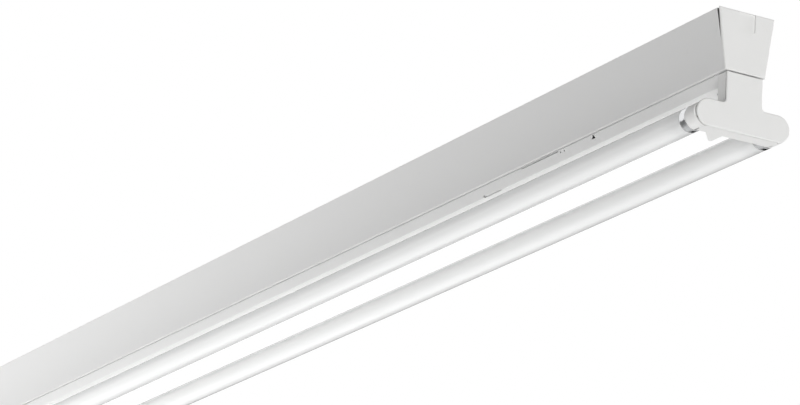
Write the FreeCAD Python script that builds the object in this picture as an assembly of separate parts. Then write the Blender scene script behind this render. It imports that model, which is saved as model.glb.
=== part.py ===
import FreeCAD, Part

import math
import os

# Surface or suspended twin-lamp fluorescent batten, six-foot size.
# Frame: X along the lamps, Y across, Z up. The origin is the centre of the face that lies on the ceiling.
# Everything is in millimetres. The right end (+X) is built first and turned half round Z for the left end.

# ---------------------------------------------------------------- driving dimensions
LAMP_DIAMETER = 26.0          # T8 tube
LAMP_LENGTH = 1763.8          # between the outer faces of the lamp's two metal caps
LAMP_PITCH = 84.6             # between the two lamp axes
LAMP_DROP = 113.4             # lamp axis below the ceiling face
LAMP_CAP_LENGTH = 8.5         # metal cap on each lamp end
GLASS_WALL = 0.8
PIN_DIAMETER = 2.35
PIN_PITCH = 12.7
PIN_LENGTH = 7.1

HOLDER_DEPTH = 22.0           # lampholder face behind the light's end face
LAMP_END_GAP = 1.5            # lamp cap to lampholder face
HOLDER_RADIUS = 12.9
HOLDER_NECK_RADIUS = 9.5      # narrower neck behind the bracket's face plate, for the shadow groove
HOLDER_NECK_LENGTH = 1.8
ROTOR_RADIUS = 8.5
ROTOR_DEPTH = 7.7
RUNNING_FIT = 0.05            # radial clearance of the rotor in its pocket

SHEET = 0.8                   # painted steel sheet
SPINE_TOP_WIDTH = 65.4
SPINE_BOTTOM_WIDTH = 47.4
SPINE_HEIGHT = 64.2
LIP_OPENING = 33.6            # clear width between the spine's turned-in lips
LIP_HEM = 3.6                 # height of the hem at the inner edge of each lip

TRAY_SEAM = 1.0               # open seam between spine and tray
TRAY_EDGE_WIDTH = 43.6
TRAY_FLOOR_WIDTH = 34.0
TRAY_FLOOR_DROP = 76.7        # underside of the tray below the ceiling face
TRAY_HOOK_WIDTH = 31.0        # over the two upright flanges that go up into the spine
TRAY_HOOK_HEIGHT = 9.0

END_PLATE = 3.4               # thickness of the moulded end cap outside the spine
END_PLATE_THIN = 1.2          # by which the plate's back stands off at its top edge
END_RELIEF = 3.0              # by which the sheet is cut back at its top edge
END_GAP_HEIGHT = 40.0         # height over which the gap between the two closes
END_PLATE_ROUND = 1.6

STEM_WIDTH = 42.2             # T-shaped end bracket
STEM_DEPTH = 16.6
BAR_WIDTH = 109.2
BAR_HEIGHT = 28.2
BAR_BOTTOM = 126.7
BAR_DEPTH = 20.0
BRACKET_GAP = 1.1             # open gap between end cap and bracket
COVER = 2.0                   # face plate of the bracket
COVER_ROUND = 1.5             # its rounded front edge
GROOVE = 1.4                  # shadow groove behind the face plate
GROOVE_INSET = 2.6
BRACKET_CORNER = 4.5          # inner corners between stem and bar
WALL = 1.6                    # moulded walls

FIXING_SPACING = 1200.0       # ceiling screws
FIXING_SLOT = 14.0
FIXING_SLOT_WIDTH = 6.5
HANGER_SPACING = 1600.0       # suspension hooks
HANGER_HOLE = 6.5
ENTRY_HOLE = 20.3             # cable entries in the back
ENTRY_SPACING = 1400.0
GROMMET_X = 150.0
GROMMET_BORE = 12.0
GROMMET_LENGTH = 5.0

BALLAST_LENGTH = 360.0
BALLAST_WIDTH = 28.0
BALLAST_HEIGHT = 27.0
PLUG_X = 240.0
PLUG_LENGTH = 40.0
PLUG_TOP = 46.0               # joint of plug and terminal block below the ceiling face
MAINS_OFFSETS = (-5.0, 0.0, 5.0)
MAINS_SOCKET = 6.0            # length of the supply leads inside the plug
STUD_X = 320.0

SCREW_RADIUS = 1.7            # two screws hold each bracket's foot to the tray
SCREW_HOLE = 1.9
SCREW_OFFSETS = (-5.0, 5.0)
SCREW_FROM_BRACKET = 20.0

LEAD_DIAMETER = 1.8
LEAD_BEND = 6.0               # inner wiring bends, about three diameters
LEAD_RISE = 3.9               # lead axes above the tray's floor
LEAD_OFFSETS = (10.6, 12.8)   # lead axes beside the middle line

# ---------------------------------------------------------------- worked out
LAMP_R = LAMP_DIAMETER / 2
LAMP_Y = LAMP_PITCH / 2
LAMP_Z = -LAMP_DROP
LAMP_END = LAMP_LENGTH / 2
END = LAMP_END + LAMP_END_GAP + HOLDER_DEPTH
SPINE_END = END - END_PLATE
HOLDER_FACE = END - HOLDER_DEPTH
HOLDER_BACK = END - COVER - GROOVE
TRAY_END = END - STEM_DEPTH - 0.6
TRAY_FLOOR = SHEET - TRAY_FLOOR_DROP
TRAY_TOP = -SPINE_HEIGHT - TRAY_SEAM
BRACKET_TOP = -SPINE_HEIGHT - BRACKET_GAP
BAR_TOP = BAR_HEIGHT - BAR_BOTTOM
LEAD_Z = TRAY_FLOOR + LEAD_RISE
LEAD_X = HOLDER_BACK - 6.5
SCREW_X = END - STEM_DEPTH - SCREW_FROM_BRACKET
BALLAST_END = BALLAST_LENGTH / 2
SIDES = (1, -1)

ceiling_up = FreeCAD.Vector(0, 0, 1)
along = FreeCAD.Vector(1, 0, 0)
across = FreeCAD.Vector(0, 1, 0)


# ---------------------------------------------------------------- helpers
def vec(x, y, z):
    return FreeCAD.Vector(x, y, z)


def block(x0, x1, y0, y1, z0, z1):
    """A box between two opposite corners, given as low and high values."""
    return Part.makeBox(x1 - x0, y1 - y0, z1 - z0, vec(x0, y0, z0))


def rod_x(x0, x1, y, z, radius):
    return Part.makeCylinder(radius, x1 - x0, vec(x0, y, z), along)


def rod_y(x, y0, y1, z, radius):
    return Part.makeCylinder(radius, y1 - y0, vec(x, y0, z), across)


def rod_z(x, y, z0, z1, radius):
    return Part.makeCylinder(radius, z1 - z0, vec(x, y, z0), ceiling_up)


def hexagon_z(x, y, z0, z1, across_flats):
    """A hexagonal prism standing along Z."""
    corner = across_flats / 2 / math.cos(math.pi / 6)
    angles = [math.pi / 6 + k * math.pi / 3 for k in range(7)]
    outline = [vec(x + corner * math.cos(a), y + corner * math.sin(a), z0) for a in angles]
    return Part.Face(Part.makePolygon(outline)).extrude(vec(0, 0, z1 - z0))


def prism_x(outline, x0, x1):
    """A prism along X over an outline of (y, z) corners."""
    corners = [vec(x0, y, z) for y, z in outline]
    corners.append(corners[0])
    return Part.Face(Part.makePolygon(corners)).extrude(vec(x1 - x0, 0, 0))


def folded_sheet(path, x0, x1):
    """Sheet folded along X. The sheet lies on the left of the path of (y, z) corners."""
    line = Part.makePolygon([vec(x0, y, z) for y, z in path])
    section = line.makeOffset2D(-SHEET, 0, True, True, False)
    return section.extrude(vec(x1 - x0, 0, 0))


def fuse(shapes):
    whole = shapes[0].multiFuse(shapes[1:]) if len(shapes) > 1 else shapes[0]
    return whole.removeSplitter()


def turned(shape):
    """The same piece at the other end: turned half round the Z axis."""
    other = shape.copy()
    other.rotate(vec(0, 0, 0), ceiling_up, 180)
    return other


def group(solids):
    return Part.makeCompound(solids)


def bent_rod(points, diameter, bend):
    """A round rod along straight runs joined by tangent arcs of one radius."""
    edges = []
    start = points[0]
    for before, corner, after in zip(points, points[1:], points[2:]):
        back = (before - corner).normalize()
        ahead = (after - corner).normalize()
        half_turn = (math.pi - back.getAngle(ahead)) / 2
        reach = bend * math.tan(half_turn)
        first = corner + back * reach
        last = corner + ahead * reach
        to_middle = (back + ahead).normalize()
        middle = corner + to_middle * (bend / math.cos(half_turn) - bend)
        edges.append(Part.LineSegment(start, first).toShape())
        edges.append(Part.Arc(first, middle, last).toShape())
        start = last
    edges.append(Part.LineSegment(start, points[-1]).toShape())
    spine = Part.Wire(edges)
    ring = Part.Wire(Part.makeCircle(diameter / 2, points[0], points[1] - points[0]))
    return spine.makePipeShell([ring], True, False)


# ---------------------------------------------------------------- spine, fixed to the ceiling
def spine_outline(inset=0.0):
    """The inverted trapezoid of the spine's section, as (y, z) corners."""
    slope = (SPINE_TOP_WIDTH - SPINE_BOTTOM_WIDTH) / 2 / SPINE_HEIGHT
    top = SPINE_TOP_WIDTH / 2 - inset - slope * inset
    bottom = SPINE_BOTTOM_WIDTH / 2 - inset + slope * inset
    low = inset - SPINE_HEIGHT
    return [(-top, -inset), (top, -inset), (bottom, low), (-bottom, low)]


def slot_x(x, length, width):
    """A slot cutter through the spine's back, rounded at both ends and lying along X."""
    half = (length - width) / 2
    ends = [rod_z(x + side * half, 0, -2 * SHEET, SHEET, width / 2) for side in SIDES]
    return fuse([block(x - half, x + half, -width / 2, width / 2, -2 * SHEET, SHEET)] + ends)


def slanted_wedge(x_top, x_low, x_far):
    """Cutter whose one face slants from x_top at the ceiling face to x_low where the end gap closes."""
    low = -END_GAP_HEIGHT
    slope = (x_low - x_top) / END_GAP_HEIGHT
    corners = [vec(x_top - slope, -50, 1), vec(x_low, -50, low), vec(x_far, -50, low), vec(x_far, -50, 1)]
    return Part.Face(Part.makePolygon(corners + [corners[0]])).extrude(vec(0, 100, 0))


def spine_channel():
    top_left, top_right, low_right, low_left = spine_outline(SHEET)
    hem = LIP_OPENING / 2 + SHEET
    hem_top = low_left[1] + LIP_HEM - SHEET
    path = [(-hem, hem_top), (-hem, low_left[1]), low_left, top_left]
    path += [top_right, low_right, (hem, low_right[1]), (hem, hem_top)]
    channel = folded_sheet(path, -SPINE_END, SPINE_END)
    cutters = [rod_z(GROMMET_X, 0, -2 * SHEET, SHEET, ENTRY_HOLE / 2)]
    for side in SIDES:
        cutters.append(slot_x(side * FIXING_SPACING / 2, FIXING_SLOT, FIXING_SLOT_WIDTH))
        cutters.append(rod_z(side * HANGER_SPACING / 2, 0, -2 * SHEET, SHEET, HANGER_HOLE / 2))
        cutters.append(rod_z(side * ENTRY_SPACING / 2, 0, -2 * SHEET, SHEET, ENTRY_HOLE / 2))
        cutters.append(rod_z(PLUG_X + side * POST_OFFSET, 0, -2 * SHEET, SHEET, POST_RADIUS + 0.2))
    relief = slanted_wedge(SPINE_END - END_RELIEF, SPINE_END, SPINE_END + 1)
    return channel.cut(group(cutters + [relief, turned(relief)]))


KNOCKOUT_WIDTH = 19.6
KNOCKOUT_HEIGHT = 21.0
KNOCKOUT_CORNER = 4.0
KNOCKOUT_DEPTH = 1.6
KNOCKOUT_RIM = 0.8
CAP_SKIRT = 14.0
CAP_PLUG_INSET = 8.0


def knockout_recess():
    """The thin panel for a 20 mm conduit, round at its lower corners, under a low rim at the cap's top."""
    half = KNOCKOUT_WIDTH / 2
    panel = block(END - KNOCKOUT_DEPTH, END + 1, -half, half, -KNOCKOUT_HEIGHT, -KNOCKOUT_RIM)
    low_edges = []
    for edge in panel.Edges:
        middle = edge.CenterOfMass
        is_along = abs(edge.tangentAt(edge.FirstParameter).x) > 0.9
        if is_along and middle.z < -KNOCKOUT_HEIGHT + 1:
            low_edges.append(edge)
    return panel.makeFillet(KNOCKOUT_CORNER, low_edges)


def end_cap():
    """Moulded cap that closes the spine: face plate, plug, and a skirt that grips inside the sheet."""
    plate = prism_x(spine_outline(), SPINE_END + 0.1, END)
    front = [edge for edge in plate.Edges if edge.BoundBox.XMin > END - 0.01]
    plate = plate.makeFillet(END_PLATE_ROUND, front)
    back = SPINE_END + 0.1
    plate = plate.cut(turned(slanted_wedge(-back - END_PLATE_THIN, -back, 0)))
    skirt_line = spine_outline(SHEET + 0.4)
    skirt = prism_x(skirt_line, SPINE_END - CAP_SKIRT, back + 0.5)
    skirt = skirt.cut(prism_x(spine_outline(SHEET + 0.4 + WALL), SPINE_END - CAP_SKIRT - 1, END))
    skirt = skirt.cut(block(SPINE_END - 20, END, -40, 40, -END_GAP_HEIGHT, 1))
    plug = prism_x(spine_outline(CAP_PLUG_INSET), SPINE_END - 2, back + END_PLATE_THIN + 0.3)
    clear_of_lips = block(SPINE_END - 20, SPINE_END + 0.05, -40, 40, -SPINE_HEIGHT - 1, 7 - SPINE_HEIGHT)
    inner = fuse([plug, skirt]).cut(clear_of_lips)
    return fuse([plate, inner]).cut(knockout_recess())


BLOCK_HALF_WIDTH = 12.0
POST_OFFSET = 14.0
POST_RADIUS = 2.0
BLADE_OFFSETS = (-12.0, 0.0, 12.0)
BLADE_HEIGHT = 8.0
TERMINAL_SCREW_Z = -20.0


def mains_terminal_block():
    """Screw terminals for the supply, over the sockets that the tray's plug goes up into."""
    half = PLUG_LENGTH / 2
    body = block(PLUG_X - half, PLUG_X + half, -BLOCK_HALF_WIDTH, BLOCK_HALF_WIDTH, -PLUG_TOP, -SHEET)
    posts = [rod_z(PLUG_X + side * POST_OFFSET, 0, -SHEET - 1, -0.1, POST_RADIUS) for side in SIDES]
    cutters = []
    for offset in BLADE_OFFSETS:
        x = PLUG_X + offset
        cutters.append(block(x - 2.6, x + 2.6, -1.1, 1.1, -PLUG_TOP - 1, BLADE_HEIGHT + 1.5 - PLUG_TOP))
        cutters.append(rod_y(x, -BLOCK_HALF_WIDTH - 1, -3, TERMINAL_SCREW_Z, 3.2))
        cutters.append(block(x - 2, x + 2, 4, BLOCK_HALF_WIDTH + 1,
                             TERMINAL_SCREW_Z - 2, TERMINAL_SCREW_Z + 2))
    return fuse([body] + posts).cut(group(cutters))


def terminal_screws():
    screws = []
    for offset in BLADE_OFFSETS:
        x = PLUG_X + offset
        head = rod_y(x, -BLOCK_HALF_WIDTH + 0.8, -BLOCK_HALF_WIDTH + 3, TERMINAL_SCREW_Z, 2.9)
        shank = rod_y(x, -BLOCK_HALF_WIDTH + 3, -3.2, TERMINAL_SCREW_Z, 1.7)
        low = -BLOCK_HALF_WIDTH
        groove = block(x - 0.4, x + 0.4, low, low + 1.8, TERMINAL_SCREW_Z - 4, TERMINAL_SCREW_Z + 4)
        screws.append(fuse([head, shank]).cut(groove))
    return group(screws)


def cable_grommet():
    """Rubber ring in the supply cable's entry: a neck in the sheet and a flange below it."""
    neck = rod_z(GROMMET_X, 0, -SHEET - 0.1, 0, ENTRY_HOLE / 2 - 0.05)
    flange = rod_z(GROMMET_X, 0, -GROMMET_LENGTH, -SHEET - 0.05, ENTRY_HOLE / 2 + 2.5)
    bore = rod_z(GROMMET_X, 0, -GROMMET_LENGTH - 1, 1, GROMMET_BORE / 2)
    return fuse([neck, flange]).cut(bore)


def earth_stud():
    return fuse([rod_z(STUD_X, 0, -SHEET - 0.8, -SHEET, 3.5), rod_z(STUD_X, 0, -SHEET - 13, -SHEET, 2.0)])


def earth_nut():
    nut = hexagon_z(STUD_X, 0, -SHEET - 7, -SHEET - 3.8, 7.0)
    return nut.cut(rod_z(STUD_X, 0, -SHEET - 8, -SHEET - 3, 2.0))


# ---------------------------------------------------------------- gear tray, snapped up into the spine
RELEASE_NOTCH = 250.0         # distances of the tray's release marks from the light's end
RELEASE_HOLES = (307.0, 314.0)
RELEASE_SLOT = (318.0, 392.0)
GRIP_STEP = 440.0
GRIP_HOLE = 475.0


def release_marks():
    """Cutters for the screwdriver notch, holes and finger grip in one side of the tray."""
    edge = -TRAY_EDGE_WIDTH / 2
    notch_x = END - RELEASE_NOTCH
    corners = [vec(notch_x - 4, edge - 1, TRAY_TOP - 4.5), vec(notch_x + 4, edge - 1, TRAY_TOP - 4.5)]
    corners += [vec(notch_x, edge - 1, TRAY_TOP + 0.5)]
    cutters = [Part.Face(Part.makePolygon(corners + [corners[0]])).extrude(vec(0, 4, 0))]
    for distance in RELEASE_HOLES:
        cutters.append(rod_y(END - distance, edge - 1, edge + 4, TRAY_TOP - 2.6, 1.0))
    first, last = RELEASE_SLOT
    cutters.append(block(END - last, END - first, edge - 1, edge + 1.4, TRAY_TOP - 1.4, TRAY_TOP + 1))
    floor_edge = -TRAY_FLOOR_WIDTH / 2
    cutters.append(rod_y(END - GRIP_HOLE, floor_edge - 4, floor_edge + 3, TRAY_FLOOR + 0.8, 1.3))
    cutters.append(block(END - GRIP_HOLE, END - GRIP_STEP, floor_edge - 3, floor_edge + 0.7,
                         TRAY_FLOOR - 2 * SHEET, TRAY_FLOOR + 0.2))
    return cutters


def gear_tray():
    hook, edge, floor = TRAY_HOOK_WIDTH / 2, TRAY_EDGE_WIDTH / 2, TRAY_FLOOR_WIDTH / 2
    hook_top = TRAY_TOP + TRAY_HOOK_HEIGHT
    path = [(-hook, hook_top), (-hook, TRAY_TOP), (-edge, TRAY_TOP), (-floor, -TRAY_FLOOR_DROP)]
    path += [(floor, -TRAY_FLOOR_DROP), (edge, TRAY_TOP), (hook, TRAY_TOP), (hook, hook_top)]
    tray = folded_sheet(path, -TRAY_END, TRAY_END)
    cutters = release_marks()
    cutters += [rod_z(SCREW_X, y, -TRAY_FLOOR_DROP - 1, TRAY_FLOOR + 1, SCREW_HOLE) for y in SCREW_OFFSETS]
    return tray.cut(group(cutters + [turned(cutter) for cutter in cutters]))


CLIP_STATIONS = (-840.0, -560.0, -280.0, 280.0, 560.0, 840.0)
CLIP_REACH = 0.9              # spring bulge outside the tray's upright flange


def tray_clips():
    """Leaf springs on the upright flanges: they hold the tray up by friction on the spine's hems."""
    clips = []
    hook = TRAY_HOOK_WIDTH / 2
    for x in CLIP_STATIONS:
        for side in SIDES:
            low, high = TRAY_TOP + 2.6, TRAY_TOP + 8.4
            outline = [(hook, low), (hook + 0.3, low), (hook + CLIP_REACH, low + 2.6)]
            outline += [(hook + 0.3, high), (hook, high)]
            clip = prism_x(outline, x - 7, x + 7)
            clips.append(clip if side > 0 else turned(clip))
    return group(clips)


WIRE_CLIP_STATIONS = (-760.0, -500.0, -330.0, 330.0, 500.0, 760.0)


def wire_clips():
    """Nylon saddles on the tray's floor that hold each pair of lamp leads."""
    saddles = []
    for x in WIRE_CLIP_STATIONS:
        for side in SIDES:
            saddle = block(x - 4, x + 4, 8.8, 14.5, TRAY_FLOOR, TRAY_FLOOR + 6.4)
            hole = LEAD_DIAMETER / 2 + RUNNING_FIT
            for offset in LEAD_OFFSETS:
                saddle = saddle.cut(rod_x(x - 5, x + 5, offset, LEAD_Z, hole))
            saddles.append(saddle if side > 0 else saddle.mirror(vec(0, 0, 0), across))
    return group(saddles)


# ---------------------------------------------------------------- ballast
BALLAST_SHEET = 0.6
BALLAST_FOOT = 12.0
BALLAST_STUD_X = BALLAST_END + BALLAST_FOOT / 2
FOOT_WIDTH = 16.0
TERMINAL_LENGTH = 14.0
TERMINAL_HEIGHT = 12.0
BOARD_THICKNESS = 1.6
BALLAST_LID_END = BALLAST_END - TERMINAL_LENGTH
BOARD_Z = TRAY_FLOOR + 5.5


def ballast_base():
    half = BALLAST_WIDTH / 2
    plate_end = BALLAST_END + BALLAST_FOOT
    plate = block(-plate_end, plate_end, -half, half, TRAY_FLOOR, TRAY_FLOOR + BALLAST_SHEET)
    # the corners beside each foot are cut away, so the leads run past them
    cutters = [rod_z(side * BALLAST_STUD_X, 0, TRAY_FLOOR - 1, TRAY_FLOOR + 2, 2.2) for side in SIDES]
    for x_side in SIDES:
        for y_side in SIDES:
            x0, x1 = sorted((x_side * (BALLAST_END + 0.5), x_side * (plate_end + 1)))
            y0, y1 = sorted((y_side * FOOT_WIDTH / 2, y_side * (half + 1)))
            cutters.append(block(x0, x1, y0, y1, TRAY_FLOOR - 1, TRAY_FLOOR + 2))
    return plate.cut(group(cutters))


def ballast_lid():
    """Folded lid, open below. Its end walls come down over the backs of the terminal strips."""
    half = BALLAST_WIDTH / 2
    low, high = TRAY_FLOOR + BALLAST_SHEET, TRAY_FLOOR + BALLAST_HEIGHT
    outer = block(-BALLAST_LID_END, BALLAST_LID_END, -half, half, low, high)
    inner_end, inner_half = BALLAST_LID_END - BALLAST_SHEET, half - BALLAST_SHEET
    inner = block(-inner_end, inner_end, -inner_half, inner_half, low - 1, high - BALLAST_SHEET)
    windows = block(-BALLAST_LID_END - 1, BALLAST_LID_END + 1, -inner_half, inner_half,
                    low - 1, low + TERMINAL_HEIGHT - 2)
    return outer.cut(inner).cut(windows)


def ballast_board():
    return block(3 - BALLAST_LID_END, BALLAST_LID_END - 3, -12.5, 12.5, BOARD_Z, BOARD_Z + BOARD_THICKNESS)


def ballast_coils():
    """Two lamp chokes and the mains filter choke on the board."""
    floor = BOARD_Z + BOARD_THICKNESS
    coils = []
    for x in (-70.0, 0.0, 70.0):
        core = block(x - 12, x + 12, -10, 10, floor, floor + 15)
        window = block(x - 8, x + 8, -11, 11, floor + 3, floor + 12)
        winding = block(x - 7, x + 7, -8, 8, floor + 2, floor + 13)
        coils.append(fuse([core.cut(window), winding]))
    return group(coils)


def ballast_capacitors():
    floor = BOARD_Z + BOARD_THICKNESS
    return group([rod_z(x, y, floor, floor + 14, 5.0) for x in (-120.0, 120.0) for y in (-5.5, 5.5)])


def ballast_terminals():
    """Push-in terminal strips at the ballast's two ends."""
    low = TRAY_FLOOR + BALLAST_SHEET
    half = BALLAST_WIDTH / 2
    top = low + TERMINAL_HEIGHT
    strip = block(BALLAST_LID_END, BALLAST_END, -half, half, low, top)
    # a row of release slots, 4 mm apart, in the strip's top
    for place in range(-3, 4):
        y = 4.0 * place
        strip = strip.cut(block(BALLAST_LID_END + 2, BALLAST_END - 4, y - 1.2, y + 1.2, top - 1, top + 1))
    return group([strip, turned(strip)])


def ballast_studs():
    return group([rod_z(side * BALLAST_STUD_X, 0, TRAY_FLOOR, TRAY_FLOOR + 6, 2.0) for side in SIDES])


def ballast_nuts():
    low = TRAY_FLOOR + BALLAST_SHEET
    nuts = []
    for side in SIDES:
        x = side * BALLAST_STUD_X
        nuts.append(hexagon_z(x, 0, low, low + 3.2, 7.0).cut(rod_z(x, 0, low - 1, low + 4, 2.0)))
    return group(nuts)


# ---------------------------------------------------------------- supply plug on the tray
def gear_plug():
    """Plug block that stands on the tray and carries the blades up into the terminal block."""
    half = PLUG_LENGTH / 2
    body = block(PLUG_X - half, PLUG_X + half, -8.4, 8.4, TRAY_FLOOR, -PLUG_TOP - 0.4)
    back = PLUG_X - half
    holes = [rod_x(back - 1, back + MAINS_SOCKET, y, LEAD_Z, 1.0) for y in MAINS_OFFSETS]
    return body.cut(group(holes))


def plug_blades():
    blades = []
    for offset in BLADE_OFFSETS:
        x = PLUG_X + offset
        low = -PLUG_TOP - 0.4
        blades.append(block(x - 2, x + 2, -0.5, 0.5, low, low + BLADE_HEIGHT))
    return group(blades)


MAINS_RISE = 2.0              # the leads leave the ballast a little higher than they enter the plug
MAINS_RISE_OVER_STUD = 4.6    # the middle one, over the ballast's fixing stud
MAINS_SLOPE = (14.0, 26.0)    # where each comes down, from the ballast's end


def mains_leads():
    """Three short supply leads from the plug to the ballast: two live ones and the earth."""
    leads = []
    last = PLUG_X - PLUG_LENGTH / 2 + MAINS_SOCKET
    down, level = (BALLAST_END + distance for distance in MAINS_SLOPE)
    for y in MAINS_OFFSETS:
        high = LEAD_Z + (MAINS_RISE_OVER_STUD if y == 0 else MAINS_RISE)
        points = [vec(BALLAST_END, y, high), vec(down, y, high)]
        points += [vec(level, y, LEAD_Z), vec(last, y, LEAD_Z)]
        leads.append(bent_rod(points, LEAD_DIAMETER, 2 * LEAD_BEND))
    return group(leads)


# ---------------------------------------------------------------- T-shaped end bracket
def bracket_outline(inset, x0, x1):
    """The T of the bracket as a prism along X: upright stem over a bar with round ends."""
    stem = STEM_WIDTH / 2 - inset
    round_end = BAR_HEIGHT / 2 - inset
    centre_y = (BAR_WIDTH - BAR_HEIGHT) / 2
    centre_z = BAR_TOP - BAR_HEIGHT / 2
    top, bar_top, bar_low = BRACKET_TOP - inset, BAR_TOP - inset, inset - BAR_BOTTOM
    corner = BRACKET_CORNER + inset
    bow = corner * (1 - math.sqrt(0.5))
    edges = []

    def line(a, b):
        edges.append(Part.LineSegment(vec(x0, *a), vec(x0, *b)).toShape())

    def arc(a, b, c):
        edges.append(Part.Arc(vec(x0, *a), vec(x0, *b), vec(x0, *c)).toShape())

    line((stem, top), (-stem, top))
    line((-stem, top), (-stem, bar_top + corner))
    arc((-stem, bar_top + corner), (-stem - bow, bar_top + bow), (-stem - corner, bar_top))
    line((-stem - corner, bar_top), (-centre_y, bar_top))
    arc((-centre_y, bar_top), (-centre_y - round_end, centre_z), (-centre_y, bar_low))
    line((-centre_y, bar_low), (centre_y, bar_low))
    arc((centre_y, bar_low), (centre_y + round_end, centre_z), (centre_y, bar_top))
    line((centre_y, bar_top), (stem + corner, bar_top))
    arc((stem + corner, bar_top), (stem + bow, bar_top + bow), (stem, bar_top + corner))
    line((stem, bar_top + corner), (stem, top))
    return Part.Face(Part.Wire(edges)).extrude(vec(x1 - x0, 0, 0))


def bracket_cover():
    """Face plate of the bracket, with the rim behind it that makes the shadow groove."""
    plate = bracket_outline(0.0, END - COVER, END)
    front = [edge for edge in plate.Edges if edge.BoundBox.XMin > END - 0.01]
    plate = plate.makeFillet(COVER_ROUND, front)
    rim = bracket_outline(GROOVE_INSET, HOLDER_BACK + 0.05, END - COVER + 0.2)
    hollow = bracket_outline(GROOVE_INSET + WALL, HOLDER_BACK - 1, END - COVER)
    return fuse([plate, rim.cut(hollow)])


DUCT_END = 44.0               # wiring duct behind the bar, on one side only
FOOT_LENGTH = 30.0
FOOT_THICKNESS = 2.4
FOOT_HALF_WIDTH = 8.5


def holder_cutter():
    """The two round lampholder bodies, as cutters with a small gap."""
    radius = HOLDER_RADIUS + 0.1
    return group([rod_x(HOLDER_FACE - 1, END, side * LAMP_Y, LAMP_Z, radius) for side in SIDES])


def wiring_duct(inset):
    """Five-sided boss behind the bar, between one lamp and the middle."""
    back = END - BAR_DEPTH + 1
    low, high = -BAR_BOTTOM + 1.2 + inset, -104.0 - inset
    plan = [(back, -29 + inset), (back - 5, -29 + inset), (END - DUCT_END + inset, -13.0 + inset)]
    plan += [(END - DUCT_END + inset, -9 - inset), (back, -9 - inset)]
    corners = [vec(x, y, low) for x, y in plan]
    boss = Part.Face(Part.makePolygon(corners + [corners[0]])).extrude(vec(0, 0, high - low))
    if inset:
        return boss
    rear = [edge for edge in boss.Edges if edge.BoundBox.ZLength > 5 and edge.BoundBox.XMax < back - 4]
    boss = boss.makeFillet(2.4, rear)
    low_edges = [edge for edge in boss.Edges
                 if edge.BoundBox.ZMax < low + 0.01 and edge.BoundBox.XMin < back - 1]
    return boss.makeFillet(1.8, low_edges)


def bracket_housing():
    """Hollow T behind the face plate, with a foot that is screwed to the tray's end."""
    stem = STEM_WIDTH / 2 - 0.3
    top, low = BRACKET_TOP - 0.3, 0.3 - BAR_BOTTOM
    bar_top = BAR_TOP - 0.3
    front = HOLDER_BACK
    stem_back, bar_back = END - STEM_DEPTH, END - BAR_DEPTH
    outer = [block(stem_back, front, -stem, stem, bar_top - 2, top)]
    outer.append(block(bar_back, front, -LAMP_Y, LAMP_Y, low, bar_top))
    outer.append(wiring_duct(0.0))
    body = fuse(outer)
    cavity = [block(stem_back + WALL, front + 1, WALL - stem, stem - WALL, bar_top - 4, top - WALL)]
    cavity.append(block(bar_back + WALL, front + 1, -LAMP_Y - 1, LAMP_Y + 1, low + WALL, bar_top - WALL))
    cavity.append(wiring_duct(WALL))
    # window for the leads in the stem's rear wall
    cavity.append(block(stem_back - 1, stem_back + WALL + 1, -14.6, 14.6, TRAY_FLOOR + 2.6, TRAY_FLOOR + 7))
    foot = block(stem_back - FOOT_LENGTH, stem_back + 0.2, -FOOT_HALF_WIDTH, FOOT_HALF_WIDTH,
                 TRAY_FLOOR, TRAY_FLOOR + FOOT_THICKNESS)
    housing = body.cut(group(cavity)).cut(holder_cutter())
    threads = [rod_z(SCREW_X, y, TRAY_FLOOR - 1, TRAY_FLOOR + FOOT_THICKNESS + 1, SCREW_RADIUS)
               for y in SCREW_OFFSETS]
    return fuse([housing, foot]).cut(group(threads))


def bracket_screws():
    """Two screws up through the tray's floor into the bracket's foot."""
    screws = []
    for y in SCREW_OFFSETS:
        head = rod_z(SCREW_X, y, -TRAY_FLOOR_DROP - 1.3, -TRAY_FLOOR_DROP, 3.2)
        shank = rod_z(SCREW_X, y, -TRAY_FLOOR_DROP - 0.2, TRAY_FLOOR + FOOT_THICKNESS, SCREW_RADIUS)
        low = -TRAY_FLOOR_DROP - 1.3
        cross = [block(SCREW_X - 1.8, SCREW_X + 1.8, y - 0.35, y + 0.35, low - 1, low + 0.8)]
        cross.append(block(SCREW_X - 0.35, SCREW_X + 0.35, y - 1.8, y + 1.8, low - 1, low + 0.8))
        screws.append(fuse([head, shank]).cut(group(cross)))
    return group(screws)


# ---------------------------------------------------------------- lampholders
CONTACT_ROOM = (13.0, 5.0)    # cavity for the contacts, from the end face
LEAD_LEVELS = (4.0, -4.0)     # lead entries above and below the lamp axis


def lampholder(side):
    """Round rotary lampholder: rotor pocket, pin entry slot from below, contact chamber, lead holes."""
    y = side * LAMP_Y
    neck_start = HOLDER_BACK - HOLDER_NECK_LENGTH
    body = fuse([rod_x(HOLDER_FACE, neck_start, y, LAMP_Z, HOLDER_RADIUS),
                 rod_x(neck_start - 1, HOLDER_BACK, y, LAMP_Z, HOLDER_NECK_RADIUS)])
    pocket = rod_x(HOLDER_FACE - 1, HOLDER_FACE + ROTOR_DEPTH + 0.3, y, LAMP_Z, ROTOR_RADIUS + RUNNING_FIT)
    slot = block(HOLDER_FACE - 1, HOLDER_FACE + ROTOR_DEPTH + 0.3, y - 1.6, y + 1.6,
                 LAMP_Z - HOLDER_RADIUS - 1, LAMP_Z)
    far, near = CONTACT_ROOM
    room = block(END - far, END - near, y - 9, y + 9, LAMP_Z - 5.6, LAMP_Z + 5.6)
    cutters = [pocket, slot, room]
    for level in LEAD_LEVELS:
        y0, y1 = sorted((side * (LAMP_Y - HOLDER_RADIUS - 1), side * (LAMP_Y - 8)))
        cutters.append(rod_y(LEAD_X, y0, y1, LAMP_Z + level, LEAD_DIAMETER / 2 + 0.15))
    return body.cut(group(cutters))


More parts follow.
